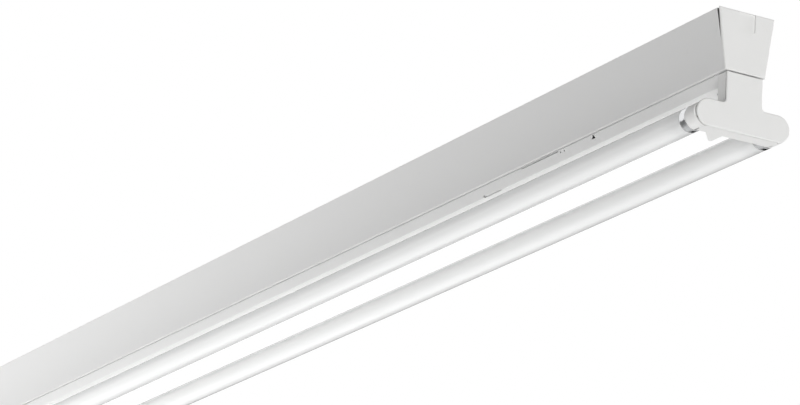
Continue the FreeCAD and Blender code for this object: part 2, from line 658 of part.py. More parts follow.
def holder_contacts():
    """Brass contact leaves, two in each lampholder of one bracket."""
    leaves = []
    for side in SIDES:
        inner, outer = LAMP_Y - PIN_PITCH / 2, LAMP_Y + PIN_PITCH / 2
        for y, low, high in ((inner, -2.4, 5.4), (outer, -5.4, 2.4)):
            y0, y1 = sorted((side * (y - 0.5), side * (y + 0.5)))
            leaves.append(block(END - 12.7, END - 6, y0, y1, LAMP_Z + low, LAMP_Z + high))
    return group(leaves)


def lamp_leads():
    """Four leads from one end of the ballast along the tray, down the stem and out to the contacts."""
    leads = []
    contact = (LAMP_Y - PIN_PITCH / 2 - 0.5, LAMP_Y + PIN_PITCH / 2 - 0.5)
    for side in SIDES:
        # the outer lead of each pair turns off first, so the two never cross
        for offset, level, reach in zip(reversed(LEAD_OFFSETS), LEAD_LEVELS, contact):
            y = side * offset
            z = LAMP_Z + level
            points = [vec(BALLAST_END, y, LEAD_Z), vec(LEAD_X, y, LEAD_Z)]
            points += [vec(LEAD_X, y, z), vec(LEAD_X, side * reach, z)]
            leads.append(bent_rod(points, LEAD_DIAMETER, LEAD_BEND))
    return group(leads)


# ---------------------------------------------------------------- lamps, each turning in its two rotors
INSULATOR_RADIUS = 9.0
GLASS_END = LAMP_END - LAMP_CAP_LENGTH


def lamp_tube(y):
    """Glass tube with a narrower neck inside each metal cap."""
    tube = rod_x(-GLASS_END, GLASS_END, y, LAMP_Z, LAMP_R)
    necks = rod_x(2 - LAMP_END, LAMP_END - 2, y, LAMP_Z, LAMP_R - 0.6)
    bore = rod_x(-LAMP_END, LAMP_END, y, LAMP_Z, LAMP_R - 0.6 - GLASS_WALL)
    return fuse([tube, necks]).cut(bore)


def lamp_cap(y):
    """Aluminium cap, a cup over the end of the glass."""
    cup = rod_x(GLASS_END, LAMP_END, y, LAMP_Z, LAMP_R)
    rim = [edge for edge in cup.Edges if edge.BoundBox.XMin > LAMP_END - 0.01]
    cup = cup.makeFillet(1.0, rim)
    inside = rod_x(GLASS_END - 1, LAMP_END - 1.2, y, LAMP_Z, LAMP_R - 0.55)
    face_hole = rod_x(LAMP_END - 2, LAMP_END + 1, y, LAMP_Z, INSULATOR_RADIUS)
    return cup.cut(group([inside, face_hole]))


def lamp_pin_discs(y):
    disc = rod_x(LAMP_END - 1.8, LAMP_END - 0.1, y, LAMP_Z, INSULATOR_RADIUS)
    holes = [rod_x(LAMP_END - 3, LAMP_END + 1, y + side * PIN_PITCH / 2, LAMP_Z, PIN_DIAMETER / 2)
             for side in SIDES]
    disc = disc.cut(group(holes))
    return group([disc, turned_lamp(disc, y)])


def turned_lamp(shape, y):
    """The same lamp piece at the lamp's other end: turned half round a Z axis through the lamp."""
    other = shape.copy()
    other.rotate(vec(0, y, 0), ceiling_up, 180)
    return other


def lamp_pins(y):
    pins = [rod_x(LAMP_END - 3, LAMP_END + PIN_LENGTH, y + side * PIN_PITCH / 2, LAMP_Z, PIN_DIAMETER / 2)
            for side in SIDES]
    return group(pins + [turned_lamp(pin, y) for pin in pins])


def lamp_stems(y):
    """Glass stem that closes each tube end and carries the cathode."""
    flare = Part.makeCone(LAMP_R - 0.6 - GLASS_WALL, 4.0, 12.0, vec(LAMP_END - 3, y, LAMP_Z), vec(-1, 0, 0))
    stem = rod_x(LAMP_END - 32, LAMP_END - 14, y, LAMP_Z, 4.0)
    whole = fuse([flare, stem])
    return group([whole, turned_lamp(whole, y)])


def lamp_cathodes(y):
    """Coiled filament across two support wires, in front of each stem."""
    x = LAMP_END - 42
    wires = [rod_x(x, LAMP_END - 32, y + side * 2.5, LAMP_Z, 0.4) for side in SIDES]
    coil = rod_y(x, y - 6, y + 6, LAMP_Z, 0.6)
    whole = fuse(wires + [coil])
    return group([whole, turned_lamp(whole, y)])


def rotor(y):
    """Rotor of the lampholder, with the slot that holds the lamp's two pins."""
    disc = rod_x(HOLDER_FACE, HOLDER_FACE + ROTOR_DEPTH, y, LAMP_Z, ROTOR_RADIUS)
    slot_half = PIN_DIAMETER / 2 + 0.25
    depth = PIN_LENGTH - LAMP_END_GAP + 0.3
    slot = block(HOLDER_FACE - 1, HOLDER_FACE + depth, y - ROTOR_RADIUS - 1, y + ROTOR_RADIUS + 1,
                 LAMP_Z - slot_half, LAMP_Z + slot_half)
    return disc.cut(slot)


# ---------------------------------------------------------------- all the pieces
def pieces():
    made = {
        "spine_channel": spine_channel(),
        "mains_terminal_block": mains_terminal_block(),
        "terminal_screws": terminal_screws(),
        "cable_grommet": cable_grommet(),
        "earth_stud": earth_stud(),
        "earth_nut": earth_nut(),
        "gear_tray": gear_tray(),
        "tray_clips": tray_clips(),
        "wire_clips": wire_clips(),
        "ballast_base": ballast_base(),
        "ballast_lid": ballast_lid(),
        "ballast_board": ballast_board(),
        "ballast_coils": ballast_coils(),
        "ballast_capacitors": ballast_capacitors(),
        "ballast_terminals": ballast_terminals(),
        "ballast_studs": ballast_studs(),
        "ballast_nuts": ballast_nuts(),
        "gear_plug": gear_plug(),
        "plug_blades": plug_blades(),
        "mains_leads": mains_leads(),
    }
    both_ends = {
        "end_cap": end_cap(),
        "bracket_cover": bracket_cover(),
        "bracket_housing": bracket_housing(),
        "bracket_screws": bracket_screws(),
        "holder_contacts": holder_contacts(),
        "lamp_leads": lamp_leads(),
    }
    for name, shape in both_ends.items():
        made[name + "_right"] = shape
        made[name + "_left"] = turned(shape)
    for number, side in ((1, -1), (2, 1)):
        y = side * LAMP_Y
        lamp = f"lamp_{number}"
        made[f"lampholder_{number}_right"] = lampholder(side)
        made[f"lampholder_{number}_left"] = turned(lampholder(-side))
        made[lamp + "_tube"] = lamp_tube(y)
        made[lamp + "_cap_right"] = lamp_cap(y)
        made[lamp + "_cap_left"] = turned_lamp(lamp_cap(y), y)
        made[lamp + "_pins"] = lamp_pins(y)
        made[lamp + "_pin_discs"] = lamp_pin_discs(y)
        made[lamp + "_stems"] = lamp_stems(y)
        made[lamp + "_cathodes"] = lamp_cathodes(y)
        made[f"rotor_{number}_right"] = rotor(y)
        made[f"rotor_{number}_left"] = turned_lamp(rotor(y), y)
    return made


os.makedirs("parts", exist_ok=True)
for name, shape in pieces().items():
    shape.exportStep(f"parts/{name}.step")
    print(f"{name}: {len(shape.Solids)} solids, {shape.Volume:.0f} mm3, valid {shape.isValid()}")
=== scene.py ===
import math

import bmesh
import bpy
from mathutils import Euler, Matrix, Vector


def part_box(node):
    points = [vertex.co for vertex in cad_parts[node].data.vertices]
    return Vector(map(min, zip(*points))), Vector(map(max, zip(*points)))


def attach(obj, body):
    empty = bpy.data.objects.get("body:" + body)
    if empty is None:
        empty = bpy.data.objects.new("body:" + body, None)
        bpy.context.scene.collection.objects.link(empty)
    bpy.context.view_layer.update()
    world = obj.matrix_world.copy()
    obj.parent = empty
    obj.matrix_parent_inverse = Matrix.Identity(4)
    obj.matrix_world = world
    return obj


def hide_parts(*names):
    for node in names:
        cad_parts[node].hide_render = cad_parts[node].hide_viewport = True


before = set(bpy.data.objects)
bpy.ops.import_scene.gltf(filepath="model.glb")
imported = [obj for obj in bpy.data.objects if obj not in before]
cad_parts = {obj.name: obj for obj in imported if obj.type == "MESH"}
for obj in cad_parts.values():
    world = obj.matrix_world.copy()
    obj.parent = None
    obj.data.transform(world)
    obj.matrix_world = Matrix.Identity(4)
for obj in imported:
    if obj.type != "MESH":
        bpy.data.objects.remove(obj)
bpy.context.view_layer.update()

# A twin-tube shop light, seen from below. Metres; X along the tubes, Y across, Z up, origin on the ceiling.
# The right end (+X) is the nearer one. Most end pieces exist twice, the left one turned half round Z.

MM = 0.001
SIDES = (1, -1)
ENDS = (("right", 0.0), ("left", math.pi))

# ------------------------ sizes read from the frame
end_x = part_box("bracket_cover_right")[1].x
spine_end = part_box("spine_channel")[1].x
tray_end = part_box("gear_tray")[1].x
tube_low, tube_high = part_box("lamp_1_tube")
lamp_radius = (tube_high.z - tube_low.z) / 2
lamp_drop = (tube_high.z + tube_low.z) / 2
lamp_offset = -(tube_high.y + tube_low.y) / 2
cap_inner, cap_outer = (corner.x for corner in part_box("lamp_1_cap_right"))

SHEET = 0.8 * MM
SPINE_TOP = 32.7 * MM         # half widths of the spine's section
SPINE_BOTTOM = 23.7 * MM
SPINE_HEIGHT = 64.2 * MM
LIP_EDGE = 16.8 * MM
LIP_HEM = 3.6 * MM
END_RELIEF = 3.0 * MM         # the spine's ends are cut back at a slant at the top
END_GAP_HEIGHT = 40.0 * MM
TRAY_TOP = 65.2 * MM
TRAY_FLOOR = 76.7 * MM
TRAY_EDGE = 21.8 * MM
TRAY_FLOOR_EDGE = 17.0 * MM
TRAY_HOOK = 15.5 * MM
TRAY_HOOK_HEIGHT = 9.0 * MM
SHEET_BEND = 0.5 * MM         # inner radius of the folds

PIN_RADIUS = 1.175 * MM
PIN_SPACING = 12.7 * MM
PIN_LENGTH = 7.1 * MM
PIN_ROOT = 3 * MM             # length of a pin inside the cap


# ------------------------ shader expressions
class Wire:
    """A shader socket that Python's operators work on. Numbers alone never become nodes."""

    def __init__(self, finish, socket):
        self.finish = finish
        self.socket = socket

    def worked(self, operation, first, second):
        return self.finish.add("ShaderNodeMath", {"operation": operation}, {0: first, 1: second}, "Value")

    def __add__(self, other):
        return self.worked("ADD", self, other)

    __radd__ = __add__

    def __mul__(self, other):
        return self.worked("MULTIPLY", self, other)

    __rmul__ = __mul__

    def __abs__(self):
        return self.worked("ABSOLUTE", self, 0.0)


class Finish:
    """One material: the settings of its shader, and the nodes that vary over its surface."""

    def __init__(self, name, colour, roughness, **constants):
        self.material = bpy.data.materials.new(name)
        self.material.use_nodes = True
        self.material.diffuse_color = (*colour, 1.0)
        self.tree = self.material.node_tree
        self.shader = self.tree.nodes["Principled BSDF"]
        self.set("Base Color", (*colour, 1.0))
        self.set("Roughness", roughness)
        for socket, value in constants.items():
            self.set(socket.replace("_", " "), value)

    def set(self, socket, value):
        self.feed(self.shader.inputs[socket], value)

    def feed(self, socket, value):
        if isinstance(value, Wire):
            self.tree.links.new(value.socket, socket)
        else:
            socket.default_value = value

    def add(self, kind, settings, inputs, output):
        """Adds one node, settings first, and returns the named output."""
        node = self.tree.nodes.new(kind)
        for name, value in settings.items():
            setattr(node, name, value)
        for key, value in inputs.items():
            self.feed(node.inputs[key], value)
        return Wire(self, node.outputs[output])

    def place(self, scale=(1.0, 1.0, 1.0)):
        """Object coordinates in metres, stretched by scale."""
        here = self.add("ShaderNodeTexCoord", {}, {}, "Object")
        return self.add("ShaderNodeMapping", {}, {"Vector": here, "Scale": scale}, "Vector")

    def along(self, axis):
        """One coordinate in metres: X, Y or Z."""
        here = self.add("ShaderNodeTexCoord", {}, {}, "Object")
        return self.add("ShaderNodeSeparateXYZ", {}, {"Vector": here}, axis)

    def grain(self, size, stretch=(1.0, 1.0, 1.0), detail=2.0):
        """Soft noise from 0 to 1, with lumps of about the given size."""
        inputs = {"Vector": self.place(stretch), "Scale": 1.0 / size, "Detail": detail}
        return self.add("ShaderNodeTexNoise", {}, inputs, 0)

    def step(self, value, low, high):
        """0 below low, 1 above high, smooth between them."""
        settings = {"interpolation_type": "SMOOTHSTEP"}
        inputs = {"Value": value, "From Min": low, "From Max": high}
        return self.add("ShaderNodeMapRange", settings, inputs, 0)

    def tint(self, amount, first, second):
        """A colour between two, by amount."""
        inputs = {0: amount, 6: (*first, 1.0), 7: (*second, 1.0)}
        return self.add("ShaderNodeMix", {"data_type": "RGBA"}, inputs, 2)

    def layer(self, amount, under, over):
        """A plain colour laid over a varying one, by amount."""
        inputs = {0: amount, 6: under, 7: (*over, 1.0)}
        return self.add("ShaderNodeMix", {"data_type": "RGBA"}, inputs, 2)

    def relief(self, height, depth, strength=1.0):
        """Bumps up to the given depth in metres."""
        inputs = {"Height": height, "Distance": depth, "Strength": strength}
        self.set("Normal", self.add("ShaderNodeBump", {}, inputs, "Normal"))


def shade(colour, factor):
    """A colour made lighter or darker."""
    return tuple(min(1.0, channel * factor) for channel in colour)


# ------------------------ finishes
def powder_coat():
    """White stoved powder on steel: a faint orange peel under a semi-gloss skin."""
    colour = (0.80, 0.80, 0.795)
    made = Finish("powder_coat", colour, 0.42, Specular_IOR_Level=0.45)
    cloud = made.grain(0.25, (0.3, 1.0, 1.0))
    peel = made.grain(1.6 * MM, detail=1.0)
    dust = made.step(made.grain(9 * MM, detail=4.0), 0.66, 0.80)
    film = made.tint(cloud, shade(colour, 0.975), shade(colour, 1.015))
    made.set("Base Color", made.layer(dust * 0.35, film, shade(colour, 0.93)))
    made.set("Roughness", 0.38 + cloud * 0.07 + dust * 0.10)
    made.relief(peel, 0.03 * MM, 0.35)
    return made.material


def moulding(name, colour, roughness):
    """Moulded plastic with a fine spark-eroded skin and broad flow marks."""
    made = Finish(name, colour, roughness, Specular_IOR_Level=0.45)
    flow = made.grain(28 * MM, (1.0, 0.5, 1.0))
    skin = made.grain(0.35 * MM, detail=1.0)
    made.set("Base Color", made.tint(flow, shade(colour, 0.975), shade(colour, 1.015)))
    made.set("Roughness", roughness - 0.04 + flow * 0.08)
    made.relief(skin, 0.012 * MM, 0.5)
    return made.material


def phosphor_glass():
    """White phosphor behind clear glass, with painted shade that makes it a little greyer just inside each
    metal cap.
    """
    colour = (0.86, 0.865, 0.86)
    made = Finish("phosphor_glass", colour, 0.7, Coat_Weight=1.0, Coat_Roughness=0.03, Coat_IOR=1.5)
    from_middle = abs(made.along("X"))
    # painted shade: the tube's colour is greyed over the last 38 mm before each cap, where the bracket shades
    # it
    painted_cap_shade = made.step(from_middle, cap_inner - 38 * MM, cap_inner)
    clouds = made.grain(60 * MM, (0.15, 1.0, 1.0))
    coat = made.tint(clouds, shade(colour, 0.985), shade(colour, 1.01))
    made.set("Base Color", made.layer(painted_cap_shade * 0.5, coat, (0.62, 0.63, 0.63)))
    return made.material


def spun_metal(name, colour, roughness):
    """Metal that was turned or drawn round the X axis: fine rings, a few rubs."""
    made = Finish(name, colour, roughness, Metallic=1.0)
    rings = made.grain(0.22 * MM, (1.0, 0.02, 0.02), detail=1.0)
    rubs = made.step(made.grain(5 * MM, detail=3.0), 0.55, 0.75)
    made.set("Base Color", made.tint(rubs, colour, shade(colour, 0.88)))
    made.set("Roughness", roughness + rubs * 0.14)
    made.relief(rings, 0.004 * MM, 0.4)
    return made.material


def plated_metal(name, colour, roughness):
    """Plated or bare sheet metal with a cloudy surface."""
    made = Finish(name, colour, roughness, Metallic=1.0)
    clouds = made.grain(7 * MM, detail=4.0)
    made.set("Base Color", made.tint(clouds, shade(colour, 0.86), shade(colour, 1.06)))
    made.set("Roughness", roughness - 0.08 + clouds * 0.18)
    made.relief(made.grain(1.1 * MM, (0.2, 1.0, 1.0)), 0.01 * MM, 0.4)
    return made.material


def flexible(name, colour, roughness):
    """Rubber or lead insulation: matt, with a slight bloom."""
    made = Finish(name, colour, roughness)
    bloom = made.grain(3 * MM, detail=3.0)
    made.set("Base Color", made.tint(bloom, shade(colour, 0.9), shade(colour, 1.1)))
    made.relief(made.grain(0.5 * MM), 0.01 * MM, 0.4)
    return made.material


def striped_insulation():
    """Earth lead: green with a yellow band along one side."""
    made = Finish("earth_lead_insulation", (0.08, 0.30, 0.09), 0.5)
    band = made.step(made.grain(2.2 * MM, (0.08, 1.0, 1.0), detail=0.0), 0.47, 0.51)
    made.set("Base Color", made.tint(band, (0.08, 0.30, 0.09), (0.75, 0.60, 0.05)))
    made.relief(made.grain(0.5 * MM), 0.01 * MM, 0.4)
    return made.material


def circuit_board():
    """Green lacquer over copper tracks."""
    made = Finish("circuit_board", (0.03, 0.14, 0.06), 0.35)
    inputs = {"Vector": made.place((1.0, 1.0, 0.0)), "Scale": 180.0}
    cells = made.add("ShaderNodeTexVoronoi", {"distance": "CHEBYCHEV"}, inputs, "Distance")
    tracks = made.step(cells, 0.30, 0.36)
    made.set("Base Color", made.tint(tracks, (0.03, 0.14, 0.06), (0.08, 0.26, 0.11)))
    made.relief(tracks, 0.05 * MM, 0.5)
    return made.material


def wound_core():
    """Dark ferrite and taped winding."""
    made = Finish("wound_core", (0.035, 0.035, 0.04), 0.6)
    turns = made.grain(0.7 * MM, (1.0, 0.05, 1.0))
    made.set("Base Color", made.tint(turns, (0.03, 0.03, 0.035), (0.09, 0.075, 0.05)))
    made.relief(turns, 0.2 * MM, 0.6)
    return made.material


def stem_glass():
    """Clear glass of the sealed stems, which the white tube hides."""
    made = Finish("stem_glass", (0.85, 0.90, 0.90), 0.08, Coat_Weight=1.0)
    seeds = made.grain(2 * MM, detail=3.0)
    made.set("Roughness", 0.05 + seeds * 0.08)
    made.relief(seeds, 0.02 * MM, 0.3)
    return made.material


WHITE_STEEL = powder_coat()
WHITE_MOULDING = moulding("white_moulding", (0.80, 0.80, 0.79), 0.45)
ROTOR_PLASTIC = moulding("rotor_plastic", (0.72, 0.72, 0.70), 0.35)
TERMINAL_PLASTIC = moulding("terminal_plastic", (0.66, 0.66, 0.62), 0.5)
NATURAL_NYLON = moulding("natural_nylon", (0.62, 0.61, 0.52), 0.42)
PIN_DISC_PLASTIC = moulding("pin_disc_plastic", (0.025, 0.025, 0.028), 0.5)
CAPACITOR_SLEEVE = moulding("capacitor_sleeve", (0.02, 0.03, 0.06), 0.3)
PHOSPHOR_GLASS = phosphor_glass()
STEM_GLASS = stem_glass()
LAMP_CAP_METAL = spun_metal("lamp_cap_metal", (0.80, 0.81, 0.82), 0.16)
CONTACT_BRASS = spun_metal("contact_brass", (0.70, 0.55, 0.27), 0.28)
TUNGSTEN = plated_metal("tungsten", (0.12, 0.12, 0.13), 0.5)
ZINC_PLATE = plated_metal("zinc_plate", (0.52, 0.53, 0.55), 0.36)
SPRING_STEEL = plated_metal("spring_steel", (0.34, 0.35, 0.37), 0.3)
GROMMET_RUBBER = flexible("grommet_rubber", (0.02, 0.02, 0.02), 0.7)
LAMP_LEAD_SKIN = flexible("lamp_lead_insulation", (0.60, 0.60, 0.59), 0.45)
LINE_LEAD_SKIN = flexible("line_lead_insulation", (0.12, 0.045, 0.02), 0.45)
NEUTRAL_LEAD_SKIN = flexible("neutral_lead_insulation", (0.03, 0.08, 0.30), 0.45)
EARTH_LEAD_SKIN = striped_insulation()
BOARD_LACQUER = circuit_board()
WOUND_CORE = wound_core()


# ------------------------ making and finishing pieces
ROUNDING_ANGLE = math.radians(30.0)
FLAT_ANGLE = math.radians(0.5)       # faces of a CAD mesh that are flatter than this are joined
MERGE_DISTANCE = 0.002 * MM


def plain_object(name, mesh):
    """A new object that holds a mesh."""
    made = bpy.data.objects.new(name, mesh)
    bpy.context.scene.collection.objects.link(made)
    return made


def from_bmesh(name, work):
    """A new object from a bmesh, with its faces pointing outwards."""
    bmesh.ops.recalc_face_normals(work, faces=work.faces)
    mesh = bpy.data.meshes.new(name)
    work.to_mesh(mesh)
    work.free()
    return plain_object(name, mesh)


def prism(name, near, far):
    """A prism between two outlines that have the same number of corners."""
    work = bmesh.new()
    rings = [[work.verts.new(corner) for corner in outline] for outline in (near, far)]
    for ring in rings:
        work.faces.new(ring)
    for here in range(len(near)):
        there = (here + 1) % len(near)
        work.faces.new((rings[0][here], rings[0][there], rings[1][there], rings[1][here]))
    return from_bmesh(name, work)


def baked(made):
    """Applies every modifier, so that the object is a plain mesh."""
    graph = bpy.context.evaluated_depsgraph_get()
    mesh = bpy.data.meshes.new_from_object(made.evaluated_get(graph))
    made.modifiers.clear()
    old = made.data
    made.data = mesh
    if old.users == 0:
        bpy.data.meshes.remove(old)
    return made


def smooth(made, angle=32.0):
    """Smooth shading, with edges sharper than the angle kept crisp and the large faces kept flat."""
    made.data.shade_smooth()
    made.data.set_sharp_from_angle(angle=math.radians(angle))
    weighted = made.modifiers.new("flat_faces", "WEIGHTED_NORMAL")
    weighted.keep_sharp = True
    weighted.weight = 100
    baked(made)


def rounded(made, width, segments=3):
    """Rounds every edge that is sharper than ROUNDING_ANGLE."""
    bevel = made.modifiers.new("rounding", "BEVEL")
    bevel.width = width
    bevel.segments = segments
    bevel.limit_method = "ANGLE"
    bevel.angle_limit = ROUNDING_ANGLE
    bevel.use_clamp_overlap = True
    bevel.harden_normals = False
    return baked(made)


def dress(made, body, material, slot, *nodes):
    """Gives a piece its finish and its body, and lets it stand for CAD nodes."""
    made.data.materials.clear()
    made.data.materials.append(material)
    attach(made, body)
    if nodes:
        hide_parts(*nodes)
    return made


def turn_half(made):
    """Turns a piece half round Z, to the light's other end."""
    made.data.transform(Matrix.Rotation(math.pi, 4, "Z"))


def rounded_copy(node, width):
    """A merged copy of a CAD node, with every edge rounded."""
    work = bmesh.new()
    work.from_mesh(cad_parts[node].data)
    bmesh.ops.remove_doubles(work, verts=work.verts, dist=MERGE_DISTANCE)
    bmesh.ops.dissolve_limit(work, angle_limit=FLAT_ANGLE, verts=work.verts, edges=work.edges)
    mesh = bpy.data.meshes.new(node + "_soft")
    work.to_mesh(mesh)
    work.free()
    made = rounded(plain_object(node + "_soft", mesh), width)
    smooth(made)
    return made


# ------------------------ folded sheet
BEND_STEPS = 6


def bent_line(corners, radius):
    """Points and normals along a line of (y, z) corners whose bends are arcs of one radius."""
    points = [(Vector(corners[0]), (Vector(corners[1]) - Vector(corners[0])).orthogonal().normalized())]
    for before, corner, after in zip(corners, corners[1:], corners[2:]):
        before, corner, after = Vector(before), Vector(corner), Vector(after)
        back, ahead = (before - corner).normalized(), (after - corner).normalized()
        half = back.angle(ahead) / 2
        centre = corner + (back + ahead).normalized() * (radius / math.sin(half))
        start = corner + back * (radius / math.tan(half))
        first = start - centre
        sweep = math.pi - 2 * half
        turn = 1 if (-back).cross(ahead) > 0 else -1
        for step in range(BEND_STEPS + 1):
            angle = turn * sweep * step / BEND_STEPS
            spoke = Matrix.Rotation(angle, 2) @ first
            points.append((centre + spoke, -turn * spoke.normalized()))
    last = (Vector(corners[-1]) - Vector(corners[-2])).orthogonal().normalized()
    points.append((Vector(corners[-1]), last))
    return points


def folded_sheet(name, corners, half_length):
    """Sheet metal folded along X, from its middle line of (y, z) corners."""
    line = bent_line(corners, SHEET_BEND + SHEET / 2)
    outline = [point + normal * SHEET / 2 for point, normal in line]
    outline += [point - normal * SHEET / 2 for point, normal in reversed(line)]
    work = bmesh.new()
    rings = []
    for x in (-half_length, half_length):
        rings.append([work.verts.new((x, point.x, point.y)) for point in outline])
    count = len(outline)
    for here in range(count):
        there = (here + 1) % count
        work.faces.new((rings[0][here], rings[0][there], rings[1][there], rings[1][here]))
    # the end faces are strips across the sheet's thickness
    for ring in rings:
        for here in range(len(line) - 1):
            work.faces.new((ring[here], ring[here + 1], ring[count - 2 - here], ring[count - 1 - here]))
    return from_bmesh(name, work)


def cut_away(made, cutters):
    """Cuts away the cutters and deletes them."""
    for cutter in cutters:
        boolean = made.modifiers.new("cut", "BOOLEAN")
        boolean.operation = "DIFFERENCE"
        boolean.solver = "EXACT"
        boolean.object = cutter
    baked(made)
    for cutter in cutters:
        bpy.data.objects.remove(cutter)
    return made


def upright_cutter(x, radius, length=0.0, sides=32):
    """A round or slot-shaped cutter through the spine's back."""
    straight = max(0.0, length / 2 - radius)
    ring = []
    for k in range(sides):
        angle = 2 * math.pi * (k + 0.5) / sides
        side = 1 if math.cos(angle) > 0 else -1
        ring.append((x + side * straight + radius * math.cos(angle), radius * math.sin(angle)))
    low = [(px, py, -3 * SHEET) for px, py in ring]
    high = [(px, py, 2 * SHEET) for px, py in ring]
    return prism("cutter", low, high)


def block_cutter(low, high):
    """A box-shaped cutter between two corners."""
    work = bmesh.new()
    middle = (Vector(low) + Vector(high)) / 2
    size = Vector(high) - Vector(low)
    place = Matrix.Translation(middle) @ Matrix.Diagonal((*size, 1.0))
    bmesh.ops.create_cube(work, size=1.0, matrix=place)
    return from_bmesh("cutter", work)


def rod_cutter(middle, radius, length, turn):
    """A round cutter of 20 sides about a middle point, turned from upright."""
    work = bmesh.new()
    bmesh.ops.create_cone(work, cap_ends=True, segments=20, radius1=radius, radius2=radius,
                          depth=length, matrix=Matrix.Translation(middle) @ turn)
    return from_bmesh("cutter", work)


def sideways_cutter(x, z, radius, y_low, y_high):
    """A round cutter along Y."""
    turn = Matrix.Rotation(math.pi / 2, 4, "X")
    return rod_cutter((x, (y_low + y_high) / 2, z), radius, y_high - y_low, turn)


FIXING_SLOT_X = 0.600
FIXING_SLOT_RADIUS = 3.25 * MM
FIXING_SLOT_LENGTH = 14 * MM
HANGER_HOLE_X = 0.800
HANGER_HOLE_RADIUS = 3.25 * MM
REAR_ENTRY_X = 0.700
ENTRY_RADIUS = 10.15 * MM
GROMMET_X = 0.150
TERMINAL_POSTS = (0.226, 0.254)
POST_HOLE_RADIUS = 2.2 * MM
RELIEF_CUTTER_HALF = 50 * MM  # half width of the cutter, beyond both sides of the spine


def relief_cutter(side):
    """Cuts one end of the spine back at a slant, most at the ceiling face."""
    slope = END_RELIEF / END_GAP_HEIGHT
    corners = [(spine_end - END_RELIEF - slope * MM, MM), (spine_end, -END_GAP_HEIGHT)]
    corners += [(spine_end + MM, -END_GAP_HEIGHT), (spine_end + MM, MM)]
    near = [(side * x, -RELIEF_CUTTER_HALF, z) for x, z in corners]
    far = [(side * x, RELIEF_CUTTER_HALF, z) for x, z in corners]
    return prism("cutter", near, far)


def spine():
    """Folded channel with a wide back, leaning sides and turned-in lips with a hem."""
    half = SHEET / 2
    slope = (SPINE_TOP - SPINE_BOTTOM) / SPINE_HEIGHT
    top, bottom = SPINE_TOP - half - slope * half, SPINE_BOTTOM - half + slope * half
    low = half - SPINE_HEIGHT
    hem_top = low + LIP_HEM - half
    edge = LIP_EDGE + half
    right = [(top, -half), (bottom, low), (edge, low), (edge, hem_top)]
    corners = [(-y, z) for y, z in reversed(right)] + right
    made = folded_sheet("spine_channel_folded", corners, spine_end)
    cutters = [upright_cutter(GROMMET_X, ENTRY_RADIUS)]
    cutters += [upright_cutter(x, POST_HOLE_RADIUS, sides=16) for x in TERMINAL_POSTS]
    for side in SIDES:
        cutters.append(upright_cutter(side * FIXING_SLOT_X, FIXING_SLOT_RADIUS, FIXING_SLOT_LENGTH))
        cutters.append(upright_cutter(side * HANGER_HOLE_X, HANGER_HOLE_RADIUS))
        cutters.append(upright_cutter(side * REAR_ENTRY_X, ENTRY_RADIUS, sides=48))
    for side in SIDES:
        cutters.append(relief_cutter(side))
    cut_away(made, cutters)
    smooth(made)
    return dress(made, "spine", WHITE_STEEL, "white_steel", "spine_channel")


RELEASE_NOTCH = 250 * MM      # marks on the tray, measured from the light's end
NOTCH_HALF_WIDTH = 4 * MM
NOTCH_HEIGHT = 4.5 * MM
RELEASE_HOLES = (307 * MM, 314 * MM)
RELEASE_HOLE_DROP = 2.6 * MM
RELEASE_HOLE_RADIUS = 1 * MM
RELEASE_SLOT = (318 * MM, 392 * MM)
RELEASE_SLOT_DEPTH = 1.4 * MM
GRIP = (440 * MM, 475 * MM)
GRIP_HOLE_RADIUS = 1.3 * MM
GRIP_HOLE_RISE = 0.8 * MM


def release_cutters(side):
    """The notch, holes, slot and finger grip in the tray's near side, or turned for the far side."""
    edge, top = -TRAY_EDGE, -TRAY_TOP
    notch_x = end_x - RELEASE_NOTCH
    low = top - NOTCH_HEIGHT
    wedge = [(notch_x - NOTCH_HALF_WIDTH, low), (notch_x + NOTCH_HALF_WIDTH, low), (notch_x, top + 0.5 * MM)]
    near = [(x, edge - MM, z) for x, z in wedge]
    far = [(x, edge + 3 * MM, z) for x, z in wedge]
    cutters = [prism("cutter", near, far)]
    for distance in RELEASE_HOLES:
        cutters.append(sideways_cutter(end_x - distance, top - RELEASE_HOLE_DROP, RELEASE_HOLE_RADIUS,
                                       edge - MM, edge + 4 * MM))
    first, last = RELEASE_SLOT
    cutters.append(block_cutter((end_x - last, edge - MM, top - RELEASE_SLOT_DEPTH),
                                (end_x - first, edge + RELEASE_SLOT_DEPTH, top + MM)))
    floor, floor_edge = SHEET - TRAY_FLOOR, -TRAY_FLOOR_EDGE
    grip_near, grip_far = GRIP
    cutters.append(block_cutter((end_x - grip_far, floor_edge - 3 * MM, floor - 2 * SHEET),
                                (end_x - grip_near, floor_edge + 0.7 * MM, floor + 0.2 * MM)))
    cutters.append(sideways_cutter(end_x - grip_far, floor + GRIP_HOLE_RISE, GRIP_HOLE_RADIUS,
                                   floor_edge - 4 * MM, floor_edge + 3 * MM))
    if side < 0:
        for cutter in cutters:
            turn_half(cutter)
    return cutters


def tray():
    """Folded tray: leaning sides, a flat floor and two upright flanges that go up into the spine."""
    half = SHEET / 2
    top, floor = half - TRAY_TOP, half - TRAY_FLOOR
    right = [(TRAY_FLOOR_EDGE, floor), (TRAY_EDGE - half, top)]
    right += [(TRAY_HOOK - half, top), (TRAY_HOOK - half, TRAY_HOOK_HEIGHT - TRAY_TOP)]
    corners = [(-y, z) for y, z in reversed(right)] + right
    made = folded_sheet("gear_tray_folded", corners, tray_end)
    cut_away(made, release_cutters(1) + release_cutters(-1))
    smooth(made)
    return dress(made, "gear", WHITE_STEEL, "white_steel", "gear_tray")


